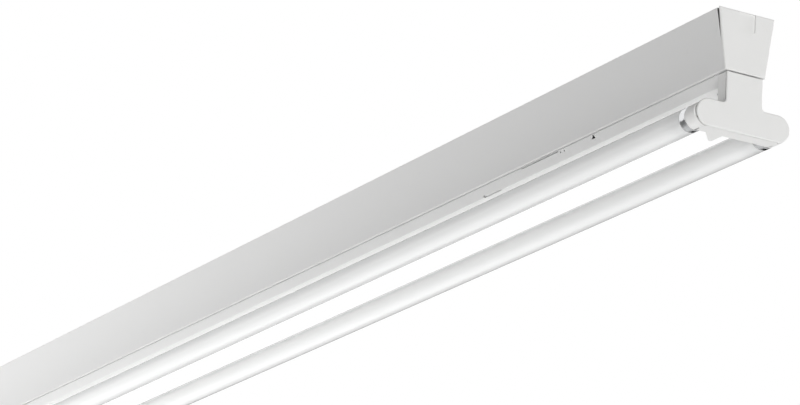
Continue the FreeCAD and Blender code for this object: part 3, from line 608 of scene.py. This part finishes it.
# ------------------------ lamps
def turned(name, profile, x0, y, z, sides=64, flip=False):
    """A shape turned round an axis along X, from (distance, radius) points. Flip runs it towards -X."""
    work = bmesh.new()
    way = -1 if flip else 1
    rings = []
    for distance, radius in profile:
        x = x0 + way * distance
        if radius == 0:
            rings.append([work.verts.new((x, y, z))])
            continue
        ring = []
        for k in range(sides):
            angle = 2 * math.pi * k / sides
            ring.append(work.verts.new((x, y + radius * math.cos(angle), z + radius * math.sin(angle))))
        rings.append(ring)
    for first, second in zip(rings, rings[1:]):
        for here in range(sides):
            there = (here + 1) % sides
            if len(first) == 1:
                work.faces.new((first[0], second[here], second[there]))
            elif len(second) == 1:
                work.faces.new((first[here], first[there], second[0]))
            else:
                work.faces.new((first[here], first[there], second[there], second[here]))
    return from_bmesh(name, work)


def quarter_round(distance, radius, bend, steps=5):
    """Profile points of a rounded outer corner that ends at the given distance and radius."""
    points = []
    for step in range(steps + 1):
        angle = math.pi / 2 * step / steps
        points.append((distance - bend + bend * math.sin(angle), radius - bend + bend * math.cos(angle)))
    return points


GLASS_DRAW = 0.6 * MM         # by which the glass is drawn in at each end
GLASS_DRAW_START = 2.4 * MM   # before the cap
GLASS_DRAW_LENGTH = 2.28 * MM
GLASS_DRAW_STEPS = 6
GLASS_IN_CAP = 2.2 * MM       # from the glass's end to the cap's face
GLASS_RING = 0.4              # an extra ring before each end, so that no face is as long as the tube


def lamp_glass(number, y):
    """The glass tube: long and even, drawn in a little where it enters each cap."""
    start = cap_inner - GLASS_DRAW_START
    half = [(0.0, lamp_radius), (cap_inner - GLASS_RING, lamp_radius), (start, lamp_radius)]
    for step in range(1, GLASS_DRAW_STEPS + 1):
        share = step / GLASS_DRAW_STEPS
        ease = (1 - math.cos(math.pi * share)) / 2
        half.append((start + GLASS_DRAW_LENGTH * share, lamp_radius - GLASS_DRAW * ease))
    glass_end = cap_outer - GLASS_IN_CAP
    half += [(glass_end, lamp_radius - GLASS_DRAW), (glass_end, 0.0)]
    profile = [(-x, r) for x, r in reversed(half[1:])] + half
    made = turned(f"lamp_{number}_glass", profile, 0.0, y, lamp_drop, sides=96)
    smooth(made, 40)
    node = f"lamp_{number}_tube"
    return dress(made, f"lamp_{number}", PHOSPHOR_GLASS, "phosphor_glass", node)


CAP_MOUTH = 0.55 * MM         # the mouth's wall, rolled over the glass
CAP_GROOVE = 0.16 * MM        # depth of the fine bead's groove
CAP_RIM = 1.3 * MM            # radius of the rim
CAP_WALL = 1.2 * MM
CAP_HOLE_RADIUS = 9.0 * MM    # opening in the cap's face, for the pin disc


def lamp_cap(number, end, y):
    """Drawn metal cap: a cup with a rolled mouth, a fine bead and a rounded rim."""
    length = cap_outer - cap_inner
    mouth, bead = lamp_radius - CAP_MOUTH, lamp_radius - CAP_GROOVE
    outside = [(0.0, mouth), (0.0, lamp_radius - 0.25 * MM), (0.25 * MM, lamp_radius)]
    outside += [(1.3 * MM, lamp_radius), (1.6 * MM, bead), (1.9 * MM, bead), (2.2 * MM, lamp_radius)]
    outside += quarter_round(length, lamp_radius, CAP_RIM)
    outside += [(length, CAP_HOLE_RADIUS + 0.3 * MM), (length - 0.2 * MM, CAP_HOLE_RADIUS)]
    outside += [(length - CAP_WALL, CAP_HOLE_RADIUS), (length - CAP_WALL, lamp_radius - 0.9 * MM)]
    outside.append((0.0, mouth))
    side = 1 if end == "right" else -1
    name = f"lamp_{number}_cap_{end}"
    made = turned(name + "_drawn", outside, side * cap_inner, y, lamp_drop, sides=96, flip=side < 0)
    smooth(made, 50)
    return dress(made, f"lamp_{number}", LAMP_CAP_METAL, "lamp_cap_metal", name)


DISC_RADIUS = 8.95 * MM
DISC_BACK = -1.7 * MM         # measured from the cap's face
DISC_FACE = -0.1 * MM


def pin_discs(number, y):
    """The two dark insulating discs, joined to one piece per lamp."""
    work = bmesh.new()
    for side in SIDES:
        profile = [(DISC_BACK, 0.0), (DISC_BACK, DISC_RADIUS)]
        profile += quarter_round(DISC_FACE, DISC_RADIUS, 0.3 * MM, 3)
        profile += [(DISC_FACE, 6.0 * MM), (-0.5 * MM, 5.6 * MM), (-0.5 * MM, 0.0)]
        disc = turned("disc", profile, side * cap_outer, y, lamp_drop, sides=64, flip=side < 0)
        work.from_mesh(disc.data)
        bpy.data.objects.remove(disc)
    made = from_bmesh(f"lamp_{number}_pin_discs_turned", work)
    smooth(made)
    node = f"lamp_{number}_pin_discs"
    return dress(made, f"lamp_{number}", PIN_DISC_PLASTIC, "pin_disc_plastic", node)


# ------------------------ what repeats, by geometry nodes
class Geometry:
    """A geometry node tree with named inputs, put on an object as its modifier."""

    def __init__(self, name):
        self.tree = bpy.data.node_groups.new(name, "GeometryNodeTree")
        self.tree.interface.new_socket("Geometry", in_out="INPUT", socket_type="NodeSocketGeometry")
        self.tree.interface.new_socket("Geometry", in_out="OUTPUT", socket_type="NodeSocketGeometry")
        self.source = self.tree.nodes.new("NodeGroupInput")
        self.names = {}

    def input(self, name, kind):
        socket = self.tree.interface.new_socket(name, in_out="INPUT", socket_type="NodeSocket" + kind)
        self.names[name] = socket.identifier
        return self.source.outputs[name]

    def add(self, kind, settings, inputs, output=0):
        node = self.tree.nodes.new(kind)
        for name, value in settings.items():
            setattr(node, name, value)
        for key, value in inputs.items():
            if isinstance(value, bpy.types.NodeSocket):
                self.tree.links.new(value, node.inputs[key])
            else:
                node.inputs[key].default_value = value
        return node.outputs[output]

    def finish(self, geometry, material):
        """Ends the tree in Realize Instances and Set Material."""
        real = self.add("GeometryNodeRealizeInstances", {}, {"Geometry": geometry})
        painted = self.add("GeometryNodeSetMaterial", {}, {"Geometry": real, "Material": material})
        exit_node = self.tree.nodes.new("NodeGroupOutput")
        self.tree.links.new(painted, exit_node.inputs[0])

    def apply(self, made, values):
        modifier = made.modifiers.new(self.tree.name, "NODES")
        modifier.node_group = self.tree
        for name, value in values.items():
            modifier[self.names[name]] = value
        return baked(made)


def copies_tree():
    """Puts a unit piece on every point of a mesh, turned by the point's own turn attribute."""
    made = Geometry("copies_on_points")
    unit = made.input("Unit piece", "Object")
    finish = made.input("Finish", "Material")
    shape = made.add("GeometryNodeObjectInfo", {}, {"Object": unit}, "Geometry")
    vectors = {"data_type": "FLOAT_VECTOR"}
    turn = made.add("GeometryNodeInputNamedAttribute", vectors, {"Name": "turn"})
    points = made.source.outputs["Geometry"]
    inputs = {"Points": points, "Instance": shape, "Rotation": turn}
    copies = made.add("GeometryNodeInstanceOnPoints", {}, inputs)
    made.finish(copies, finish)
    return made


def lead_tree():
    """Runs a round lead along every polyline of a mesh, with arcs at its corners."""
    made = Geometry("leads_along_routes")
    radius = made.input("Lead radius", "Float")
    bend = made.input("Bend radius", "Float")
    finish = made.input("Finish", "Material")
    line = made.add("GeometryNodeMeshToCurve", {}, {"Mesh": made.source.outputs["Geometry"]})
    corners = {"Curve": line, "Count": 10, "Radius": bend}
    arcs = made.add("GeometryNodeFilletCurve", {"mode": "POLY"}, corners)
    ring = made.add("GeometryNodeCurvePrimitiveCircle", {}, {"Resolution": 12, "Radius": radius})
    swept = {"Curve": arcs, "Profile Curve": ring, "Fill Caps": True}
    tube = made.add("GeometryNodeCurveToMesh", {}, swept)
    made.finish(tube, finish)
    return made


COPIES = copies_tree()
LEADS = lead_tree()


def placed(name, unit, places, material):
    """Copies of a unit piece at places, each a position and a turn, as one mesh. The unit is deleted."""
    mesh = bpy.data.meshes.new(name)
    mesh.from_pydata([position for position, turn in places], [], [])
    turns = mesh.attributes.new("turn", "FLOAT_VECTOR", "POINT")
    for point, (position, turn) in zip(turns.data, places):
        point.vector = turn
    made = plain_object(name, mesh)
    COPIES.apply(made, {"Unit piece": unit, "Finish": material})
    bpy.data.objects.remove(unit)
    smooth(made, 40)
    return made


def leads_along(name, routes, radius, bend, material):
    """Round leads along routes of corner points, as one plain mesh."""
    points = [point for route in routes for point in route]
    edges, first = [], 0
    for route in routes:
        edges += [(first + k, first + k + 1) for k in range(len(route) - 1)]
        first += len(route)
    mesh = bpy.data.meshes.new(name)
    mesh.from_pydata(points, edges, [])
    made = plain_object(name, mesh)
    LEADS.apply(made, {"Lead radius": radius, "Bend radius": bend, "Finish": material})
    smooth(made, 50)
    return made


def outline_prism(name, outline, depth, width=0.0, segments=2):
    """A prism over an outline of (x, y) corners, centred in Z, with rounded edges."""
    made = prism(name, [(x, y, -depth / 2) for x, y in outline], [(x, y, depth / 2) for x, y in outline])
    return rounded(made, width, segments) if width else made


def stand_across(made):
    """Turns a prism so that its outline's x runs across the light and its y upwards."""
    made.data.transform(Matrix.Rotation(math.pi / 2, 4, "X"))
    made.data.transform(Matrix.Rotation(math.pi / 2, 4, "Z"))


def mirrored_places(stations, offset, z):
    """Places on both sides of the light at each station, the second side turned half round."""
    places = []
    for x in stations:
        for side in SIDES:
            places.append(((x, side * offset, z), (0.0, 0.0, 0.0 if side > 0 else math.pi)))
    return places


def lamp_pins(number, y):
    """Bright contact pins with domed tips, two at each end."""
    length = PIN_LENGTH + PIN_ROOT
    profile = [(0.0, 0.0), (0.0, PIN_RADIUS)] + quarter_round(length, PIN_RADIUS, 0.9 * MM, 4)
    profile.append((length, 0.0))
    unit = turned("pin", profile, 0.0, 0.0, 0.0, sides=20)
    places = []
    for side in SIDES:
        for across in SIDES:
            place = (side * (cap_outer - PIN_ROOT), y + across * PIN_SPACING / 2, lamp_drop)
            places.append((place, (0.0, 0.0, 0.0 if side > 0 else math.pi)))
    made = placed(f"lamp_{number}_pins_turned", unit, places, CONTACT_BRASS)
    return dress(made, f"lamp_{number}", CONTACT_BRASS, "contact_brass", f"lamp_{number}_pins")


SCREW_OFFSET = 5 * MM         # from the tray's middle line
SCREW_HEAD = 1.3 * MM
SCREW_RADIUS = 1.7 * MM
CROSS_REACH = 1.9 * MM        # half length of the cross slot's arms
CROSS_HALF_WIDTH = 0.36 * MM
CROSS_CUTTER = 1.8 * MM


def screws_into_bracket(end):
    """Two pan-head cross-slot screws up through the tray."""
    low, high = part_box(f"bracket_screws_{end}")
    head_radius = (high.y - low.y - 2 * SCREW_OFFSET) / 2
    length = high.z - low.z
    profile = [(0.0, 0.0), (0.0, head_radius * 0.55), (0.25 * MM, head_radius * 0.88)]
    profile += [(0.7 * MM, head_radius), (SCREW_HEAD, head_radius)]
    profile += [(SCREW_HEAD, SCREW_RADIUS), (length, SCREW_RADIUS), (length, 0.0)]
    unit = turned("screw", profile, 0.0, 0.0, 0.0, sides=32)
    recess = [(-CROSS_REACH, -CROSS_HALF_WIDTH), (CROSS_REACH, -CROSS_HALF_WIDTH)]
    recess += [(CROSS_REACH, CROSS_HALF_WIDTH), (-CROSS_REACH, CROSS_HALF_WIDTH)]
    blades = []
    for turn in (0.0, math.pi / 2):
        blade = outline_prism("blade", recess, CROSS_CUTTER)
        blade.data.transform(Matrix.Rotation(turn, 4, "Z"))
        blade.data.transform(Matrix.Rotation(math.pi / 2, 4, "Y"))
        blades.append(blade)
    cut_away(unit, blades)
    upright = (0.0, -math.pi / 2, 0.0)
    middle = (low.x + high.x) / 2
    places = [((middle, side * SCREW_OFFSET, low.z), upright) for side in SIDES]
    made = placed(f"bracket_screws_{end}_crossed", unit, places, ZINC_PLATE)
    return dress(made, "gear", ZINC_PLATE, "zinc_steel", f"bracket_screws_{end}")


SADDLE_STATIONS = (-0.760, -0.500, -0.330, 0.330, 0.500, 0.760)
SADDLE_WIDTH = 5.7 * MM
SADDLE_LENGTH = 8 * MM
SADDLE_CORNER = 0.8 * MM
SADDLE_OFFSET = 11.65 * MM    # from the tray's middle line
SADDLE_HOLES = (-1.05 * MM, 1.15 * MM)
SADDLE_HOLE_RADIUS = 0.96 * MM
SADDLE_HOLE_HEIGHT = 3.9 * MM
SADDLE_GAP_HALF = 0.25 * MM   # half width of the snap gap over each lead


def wire_saddles():
    """Nylon saddles on the tray floor: a rounded block with a snap gap over each lead."""
    low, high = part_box("wire_clips")
    half, height = SADDLE_WIDTH / 2, high.z - low.z
    outline = [(-half, 0.0), (half, 0.0), (half, height - SADDLE_CORNER), (half - SADDLE_CORNER, height)]
    outline += [(-half + SADDLE_CORNER, height), (-half, height - SADDLE_CORNER)]
    unit = outline_prism("saddle", outline, SADDLE_LENGTH, 0.35 * MM)
    stand_across(unit)
    holes = []
    for across in SADDLE_HOLES:
        along_x = Matrix.Rotation(math.pi / 2, 4, "Y")
        holes.append(rod_cutter((0.0, across, SADDLE_HOLE_HEIGHT), SADDLE_HOLE_RADIUS, 12 * MM, along_x))
        holes.append(block_cutter((-6 * MM, across - SADDLE_GAP_HALF, SADDLE_HOLE_HEIGHT + 0.3 * MM),
                                  (6 * MM, across + SADDLE_GAP_HALF, 8 * MM)))
    cut_away(unit, holes)
    places = mirrored_places(SADDLE_STATIONS, SADDLE_OFFSET, low.z)
    made = placed("wire_clips_moulded", unit, places, NATURAL_NYLON)
    return dress(made, "gear", NATURAL_NYLON, "natural_nylon", "wire_clips")


SPRING_STATIONS = (-0.840, -0.560, -0.280, 0.280, 0.560, 0.840)
SPRING_REACH = 0.9 * MM
SPRING_LEAF = 0.3 * MM
SPRING_WIDTH = 14 * MM
SPRING_STEPS = 8


def tray_springs():
    """Bowed leaf springs on the tray's upright flanges."""
    low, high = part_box("tray_clips")
    height = high.z - low.z
    bow = [(0.0, 0.0), (SPRING_LEAF, 0.0)]
    for step in range(1, SPRING_STEPS):
        share = step / SPRING_STEPS
        reach = SPRING_LEAF + (SPRING_REACH - SPRING_LEAF) * math.sin(math.pi * share)
        bow.append((reach, height * share))
    bow += [(SPRING_LEAF, height), (0.0, height)]
    unit = outline_prism("spring", bow, SPRING_WIDTH, 0.08 * MM, 1)
    stand_across(unit)
    places = mirrored_places(SPRING_STATIONS, TRAY_HOOK, low.z)
    made = placed("tray_clips_bowed", unit, places, SPRING_STEEL)
    return dress(made, "gear", SPRING_STEEL, "spring_steel", "tray_clips")


CAN_RADIUS = 5.0 * MM
CAN_GROOVE_RADIUS = 4.5 * MM
CAN_TOP_RADIUS = 3.9 * MM
CAN_STATIONS = (-0.120, 0.120)
CAN_OFFSET = 5.5 * MM         # from the board's middle line


def capacitors():
    """Sleeved capacitors with a crimped groove and a vented top."""
    low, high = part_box("ballast_capacitors")
    height = high.z - low.z
    vent = height - 0.3 * MM
    profile = [(0.0, 0.0), (0.0, 4.6 * MM), (0.5 * MM, CAN_RADIUS), (1.6 * MM, CAN_RADIUS)]
    profile += [(2.1 * MM, CAN_GROOVE_RADIUS), (2.7 * MM, CAN_GROOVE_RADIUS), (3.2 * MM, CAN_RADIUS)]
    profile += quarter_round(height, CAN_RADIUS, 0.6 * MM, 4) + [(vent, CAN_TOP_RADIUS), (vent, 0.0)]
    unit = turned("capacitor", profile, 0.0, 0.0, 0.0, sides=32)
    upright = (0.0, -math.pi / 2, 0.0)
    places = [((x, y, low.z), upright) for x in CAN_STATIONS for y in (-CAN_OFFSET, CAN_OFFSET)]
    made = placed("ballast_capacitors_sleeved", unit, places, CAPACITOR_SLEEVE)
    return dress(made, "gear", CAPACITOR_SLEEVE, "capacitor_sleeve", "ballast_capacitors")


# ------------------------ leads
LEAD_RADIUS = 0.9 * MM
LEAD_BEND = 6 * MM
LEAD_PAIR = (12.8 * MM, 10.6 * MM)
LEAD_LEVELS = (4 * MM, -4 * MM)
LEAD_TURN_X = 9.9 * MM        # where the leads turn down, from the light's end
LEAD_HEIGHT = 3.9 * MM
LEAD_SHORT = 0.5 * MM         # the leads end this far inside the pins' places
LINE_RISE = 2.0 * MM          # line and neutral lie this far up at the plug
EARTH_RISE = 4.6 * MM         # the earth lead crosses over a stud
MAINS_SPACING = 5 * MM
MAINS_SLOPE = (14 * MM, 26 * MM)


def lead_level():
    """Height of the leads' middle over the tray floor."""
    return SHEET - TRAY_FLOOR + LEAD_HEIGHT


def lamp_leads(end, half_turn):
    """Four leads from the ballast along the tray, down the bracket's stem and out to the lampholders."""
    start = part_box("ballast_terminals")[1].x
    turn_x = end_x - LEAD_TURN_X
    inner, outer = lamp_offset - PIN_SPACING / 2, lamp_offset + PIN_SPACING / 2
    reaches = (inner - LEAD_SHORT, outer - LEAD_SHORT)
    floor = lead_level()
    routes = []
    for side in SIDES:
        for across, level, reach in zip(LEAD_PAIR, LEAD_LEVELS, reaches):
            y, z = side * across, lamp_drop + level
            routes.append([(start, y, floor), (turn_x, y, floor), (turn_x, y, z), (turn_x, side * reach, z)])
    name = f"lamp_leads_{end}_round"
    made = leads_along(name, routes, LEAD_RADIUS, LEAD_BEND, LAMP_LEAD_SKIN)
    made.data.transform(Matrix.Rotation(half_turn, 4, "Z"))
    return dress(made, "gear", LAMP_LEAD_SKIN, "lead_insulation", f"lamp_leads_{end}")


def supply_leads():
    """Line, earth and neutral from the plug to the ballast, one piece each."""
    low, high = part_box("mains_leads")
    leads = (
        ("line", -MAINS_SPACING, LINE_RISE, LINE_LEAD_SKIN),
        ("earth", 0.0, EARTH_RISE, EARTH_LEAD_SKIN),
        ("neutral", MAINS_SPACING, LINE_RISE, NEUTRAL_LEAD_SKIN),
    )
    level = lead_level()
    slope_start, slope_end = MAINS_SLOPE
    for name, y, rise, skin in leads:
        route = [(low.x, y, level + rise), (low.x + slope_start, y, level + rise)]
        route += [(low.x + slope_end, y, level), (high.x, y, level)]
        made = leads_along(f"mains_lead_{name}", [route], LEAD_RADIUS, 2 * LEAD_BEND, skin)
        dress(made, "gear", skin, "lead_insulation", "mains_leads")


# ------------------------ pieces kept from the frame, edges rounded
def rounded_pieces():
    """Each of these is the CAD piece with its edges rounded, by a width in mm, as a mould or a press does."""
    pairs = [
        ("end_cap", "spine", 0.45, WHITE_MOULDING, "white_moulding"),
        ("bracket_cover", "gear", 0.30, WHITE_MOULDING, "white_moulding"),
        ("bracket_housing", "gear", 0.45, WHITE_MOULDING, "white_moulding"),
        ("lampholder_1", "gear", 0.45, WHITE_MOULDING, "white_moulding"),
        ("lampholder_2", "gear", 0.45, WHITE_MOULDING, "white_moulding"),
        ("holder_contacts", "gear", 0.12, CONTACT_BRASS, "contact_brass"),
        ("rotor_1", "lamp_1", 0.25, ROTOR_PLASTIC, "rotor_plastic"),
        ("rotor_2", "lamp_2", 0.25, ROTOR_PLASTIC, "rotor_plastic"),
    ]
    for name, body, width, material, slot in pairs:
        for end, _ in ENDS:
            node = f"{name}_{end}"
            dress(rounded_copy(node, width * MM), body, material, slot, node)
    single = [
        ("mains_terminal_block", "spine", 0.40, TERMINAL_PLASTIC, "terminal_plastic"),
        ("terminal_screws", "spine", 0.15, ZINC_PLATE, "zinc_steel"),
        ("cable_grommet", "spine", 0.50, GROMMET_RUBBER, "grey_rubber"),
        ("earth_stud", "spine", 0.20, ZINC_PLATE, "zinc_steel"),
        ("earth_nut", "spine", 0.25, ZINC_PLATE, "zinc_steel"),
        ("ballast_base", "gear", 0.12, ZINC_PLATE, "zinc_steel"),
        ("ballast_lid", "gear", 0.20, ZINC_PLATE, "zinc_steel"),
        ("ballast_coils", "gear", 0.30, WOUND_CORE, "ferrite"),
        ("ballast_board", "gear", 0.10, BOARD_LACQUER, "circuit_board"),
        ("ballast_terminals", "gear", 0.30, TERMINAL_PLASTIC, "terminal_plastic"),
        ("ballast_studs", "gear", 0.20, ZINC_PLATE, "zinc_steel"),
        ("ballast_nuts", "gear", 0.25, ZINC_PLATE, "zinc_steel"),
        ("gear_plug", "gear", 0.40, TERMINAL_PLASTIC, "terminal_plastic"),
        ("plug_blades", "gear", 0.15, CONTACT_BRASS, "contact_brass"),
    ]
    for node, body, width, material, slot in single:
        dress(rounded_copy(node, width * MM), body, material, slot, node)


def hidden_lamp_parts(number):
    """Stems and cathodes, sealed inside the white tube, keep their CAD shape."""
    for node, material in ((f"lamp_{number}_stems", STEM_GLASS), (f"lamp_{number}_cathodes", TUNGSTEN)):
        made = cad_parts[node]
        for spot in made.material_slots:
            spot.material = material


# ------------------------ studio
FLOOR_DROP = 2.35             # floor below the ceiling face
FLOOR_SIZE = 60.0
FLAG_PLACE = (-3.4, 2.3, -0.4)
FLAG_HEADING = 61.6           # degrees, square to the camera's line of sight
FLAG_SIZE = 3.6
AIR_LEVEL = 0.13              # even light from all round, where white is 1

# name, place, aimed at, width, height (metres), watts
SOFT_BOXES = (
    ("end_soft_box", (4.2, -0.6, -0.7), (0.9, 0.0, -0.08), 1.8, 1.8, 90.0),
    ("low_soft_box", (-0.8, -0.3, -2.2), (-0.6, 0.0, 0.0), 1.8, 1.8, 28.0),
    ("side_soft_box", (-1.6, -2.2, -0.7), (-0.8, 0.0, -0.05), 1.4, 1.2, 45.0),
    ("rear_soft_box", (0.6, 3.2, -0.6), (0.3, 0.0, -0.05), 2.4, 1.4, 70.0),
    ("far_end_soft_box", (-4.4, 0.8, -0.7), (-0.9, 0.0, -0.05), 1.6, 1.6, 70.0),
)


def stage_plane(name, size, matrix, material):
    """A square of the studio, which isn't part of the light."""
    work = bmesh.new()
    bmesh.ops.create_grid(work, x_segments=1, y_segments=1, size=size / 2)
    mesh = bpy.data.meshes.new(name)
    work.to_mesh(mesh)
    work.free()
    mesh.transform(matrix)
    made = plain_object(name, mesh)
    made.data.materials.append(material)
    return made


def pale_floor():
    """A matt pale floor that can't be seen from below."""
    material = bpy.data.materials.new("studio_floor")
    material.use_nodes = True
    nodes, links = material.node_tree.nodes, material.node_tree.links
    matt = nodes["Principled BSDF"]
    matt.inputs["Base Color"].default_value = (0.86, 0.86, 0.86, 1.0)
    matt.inputs["Roughness"].default_value = 0.9
    facing = nodes.new("ShaderNodeNewGeometry")
    clear = nodes.new("ShaderNodeBsdfTransparent")
    choice = nodes.new("ShaderNodeMixShader")
    links.new(facing.outputs["Backfacing"], choice.inputs[0])
    links.new(matt.outputs[0], choice.inputs[1])
    links.new(clear.outputs[0], choice.inputs[2])
    links.new(choice.outputs[0], nodes["Material Output"].inputs["Surface"])
    stage_plane("studio_floor", FLOOR_SIZE, Matrix.Translation((0.0, 0.0, -FLOOR_DROP)), material)


def dark_flag():
    """A black card behind the light, seen by reflections only: it darkens the metal caps' lower edge."""
    material = bpy.data.materials.new("studio_flag")
    material.use_nodes = True
    matt = material.node_tree.nodes["Principled BSDF"]
    matt.inputs["Base Color"].default_value = (0.01, 0.01, 0.01, 1.0)
    matt.inputs["Specular IOR Level"].default_value = 0.0
    upright = Euler((math.radians(90.0), 0.0, math.radians(FLAG_HEADING))).to_matrix().to_4x4()
    card = stage_plane("studio_flag", FLAG_SIZE, Matrix.Translation(FLAG_PLACE) @ upright, material)
    card.visible_camera = False
    card.visible_diffuse = False
    card.visible_shadow = False
    card.visible_transmission = False


def soft_box(name, place, target, width, height, strength):
    """A large soft lamp at a place, aimed at a target. Neither the camera nor reflections show it."""
    lamp = bpy.data.lights.new(name, "AREA")
    lamp.shape = "RECTANGLE"
    lamp.size = width
    lamp.size_y = height
    lamp.energy = strength
    made = bpy.data.objects.new(name, lamp)
    made.location = place
    made.rotation_euler = (Vector(target) - Vector(place)).to_track_quat("-Z", "Y").to_euler()
    made.visible_camera = False
    made.visible_glossy = False
    bpy.context.scene.collection.objects.link(made)


def studio_air():
    """White for what the camera, metal and glass see; a low even light on everything else."""
    world = bpy.data.worlds.new("studio_air")
    world.use_nodes = True
    bpy.context.scene.world = world
    nodes, links = world.node_tree.nodes, world.node_tree.links
    air = nodes["Background"]
    air.inputs["Color"].default_value = (1.0, 1.0, 1.0, 1.0)
    path = nodes.new("ShaderNodeLightPath")
    seen = path.outputs["Is Camera Ray"]
    for ray in ("Is Glossy Ray", "Is Transmission Ray"):
        either = nodes.new("ShaderNodeMath")
        either.operation = "MAXIMUM"
        links.new(seen, either.inputs[0])
        links.new(path.outputs[ray], either.inputs[1])
        seen = either.outputs[0]
    level = nodes.new("ShaderNodeMapRange")
    level.inputs["To Min"].default_value = AIR_LEVEL
    level.inputs["To Max"].default_value = 1.0
    links.new(seen, level.inputs["Value"])
    links.new(level.outputs["Result"], air.inputs["Strength"])


def studio():
    """A pale floor, white air, a dark card and five soft boxes."""
    bpy.context.scene.view_settings.view_transform = "Standard"
    studio_air()
    pale_floor()
    dark_flag()
    for name, place, target, width, height, strength in SOFT_BOXES:
        soft_box(name, place, target, width, height, strength)


CAMERA_PLACE = Vector((3.2175, -2.1167, -1.4451))   # from the middle of the near end's ceiling edge
CAMERA_HEADING = 61.605       # degrees
CAMERA_PITCH = 17.726
CAMERA_ROLL = 3.470
CAMERA_LENS = 186.27


def photo_camera():
    """The camera that was fitted to the photo."""
    lens = bpy.data.cameras.new("photo_camera")
    lens.lens = CAMERA_LENS
    lens.sensor_width = 36.0
    lens.clip_end = 100.0
    made = bpy.data.objects.new("photo_camera", lens)
    turn = Matrix.Rotation(math.radians(CAMERA_HEADING), 4, "Z")
    turn = turn @ Matrix.Rotation(math.radians(90.0 + CAMERA_PITCH), 4, "X")
    turn = turn @ Matrix.Rotation(math.radians(CAMERA_ROLL), 4, "Z")
    made.matrix_world = Matrix.Translation(CAMERA_PLACE + Vector((end_x, 0.0, 0.0))) @ turn
    bpy.context.scene.collection.objects.link(made)
    bpy.context.scene.camera = made


# ------------------------ the light
photo_camera()
studio()
spine()
tray()
for number, lamp_y in ((1, -lamp_offset), (2, lamp_offset)):
    lamp_glass(number, lamp_y)
    for end, _ in ENDS:
        lamp_cap(number, end, lamp_y)
    pin_discs(number, lamp_y)
    lamp_pins(number, lamp_y)
    hidden_lamp_parts(number)
for end, half_turn in ENDS:
    screws_into_bracket(end)
    lamp_leads(end, half_turn)
supply_leads()
wire_saddles()
tray_springs()
capacitors()
rounded_pieces()
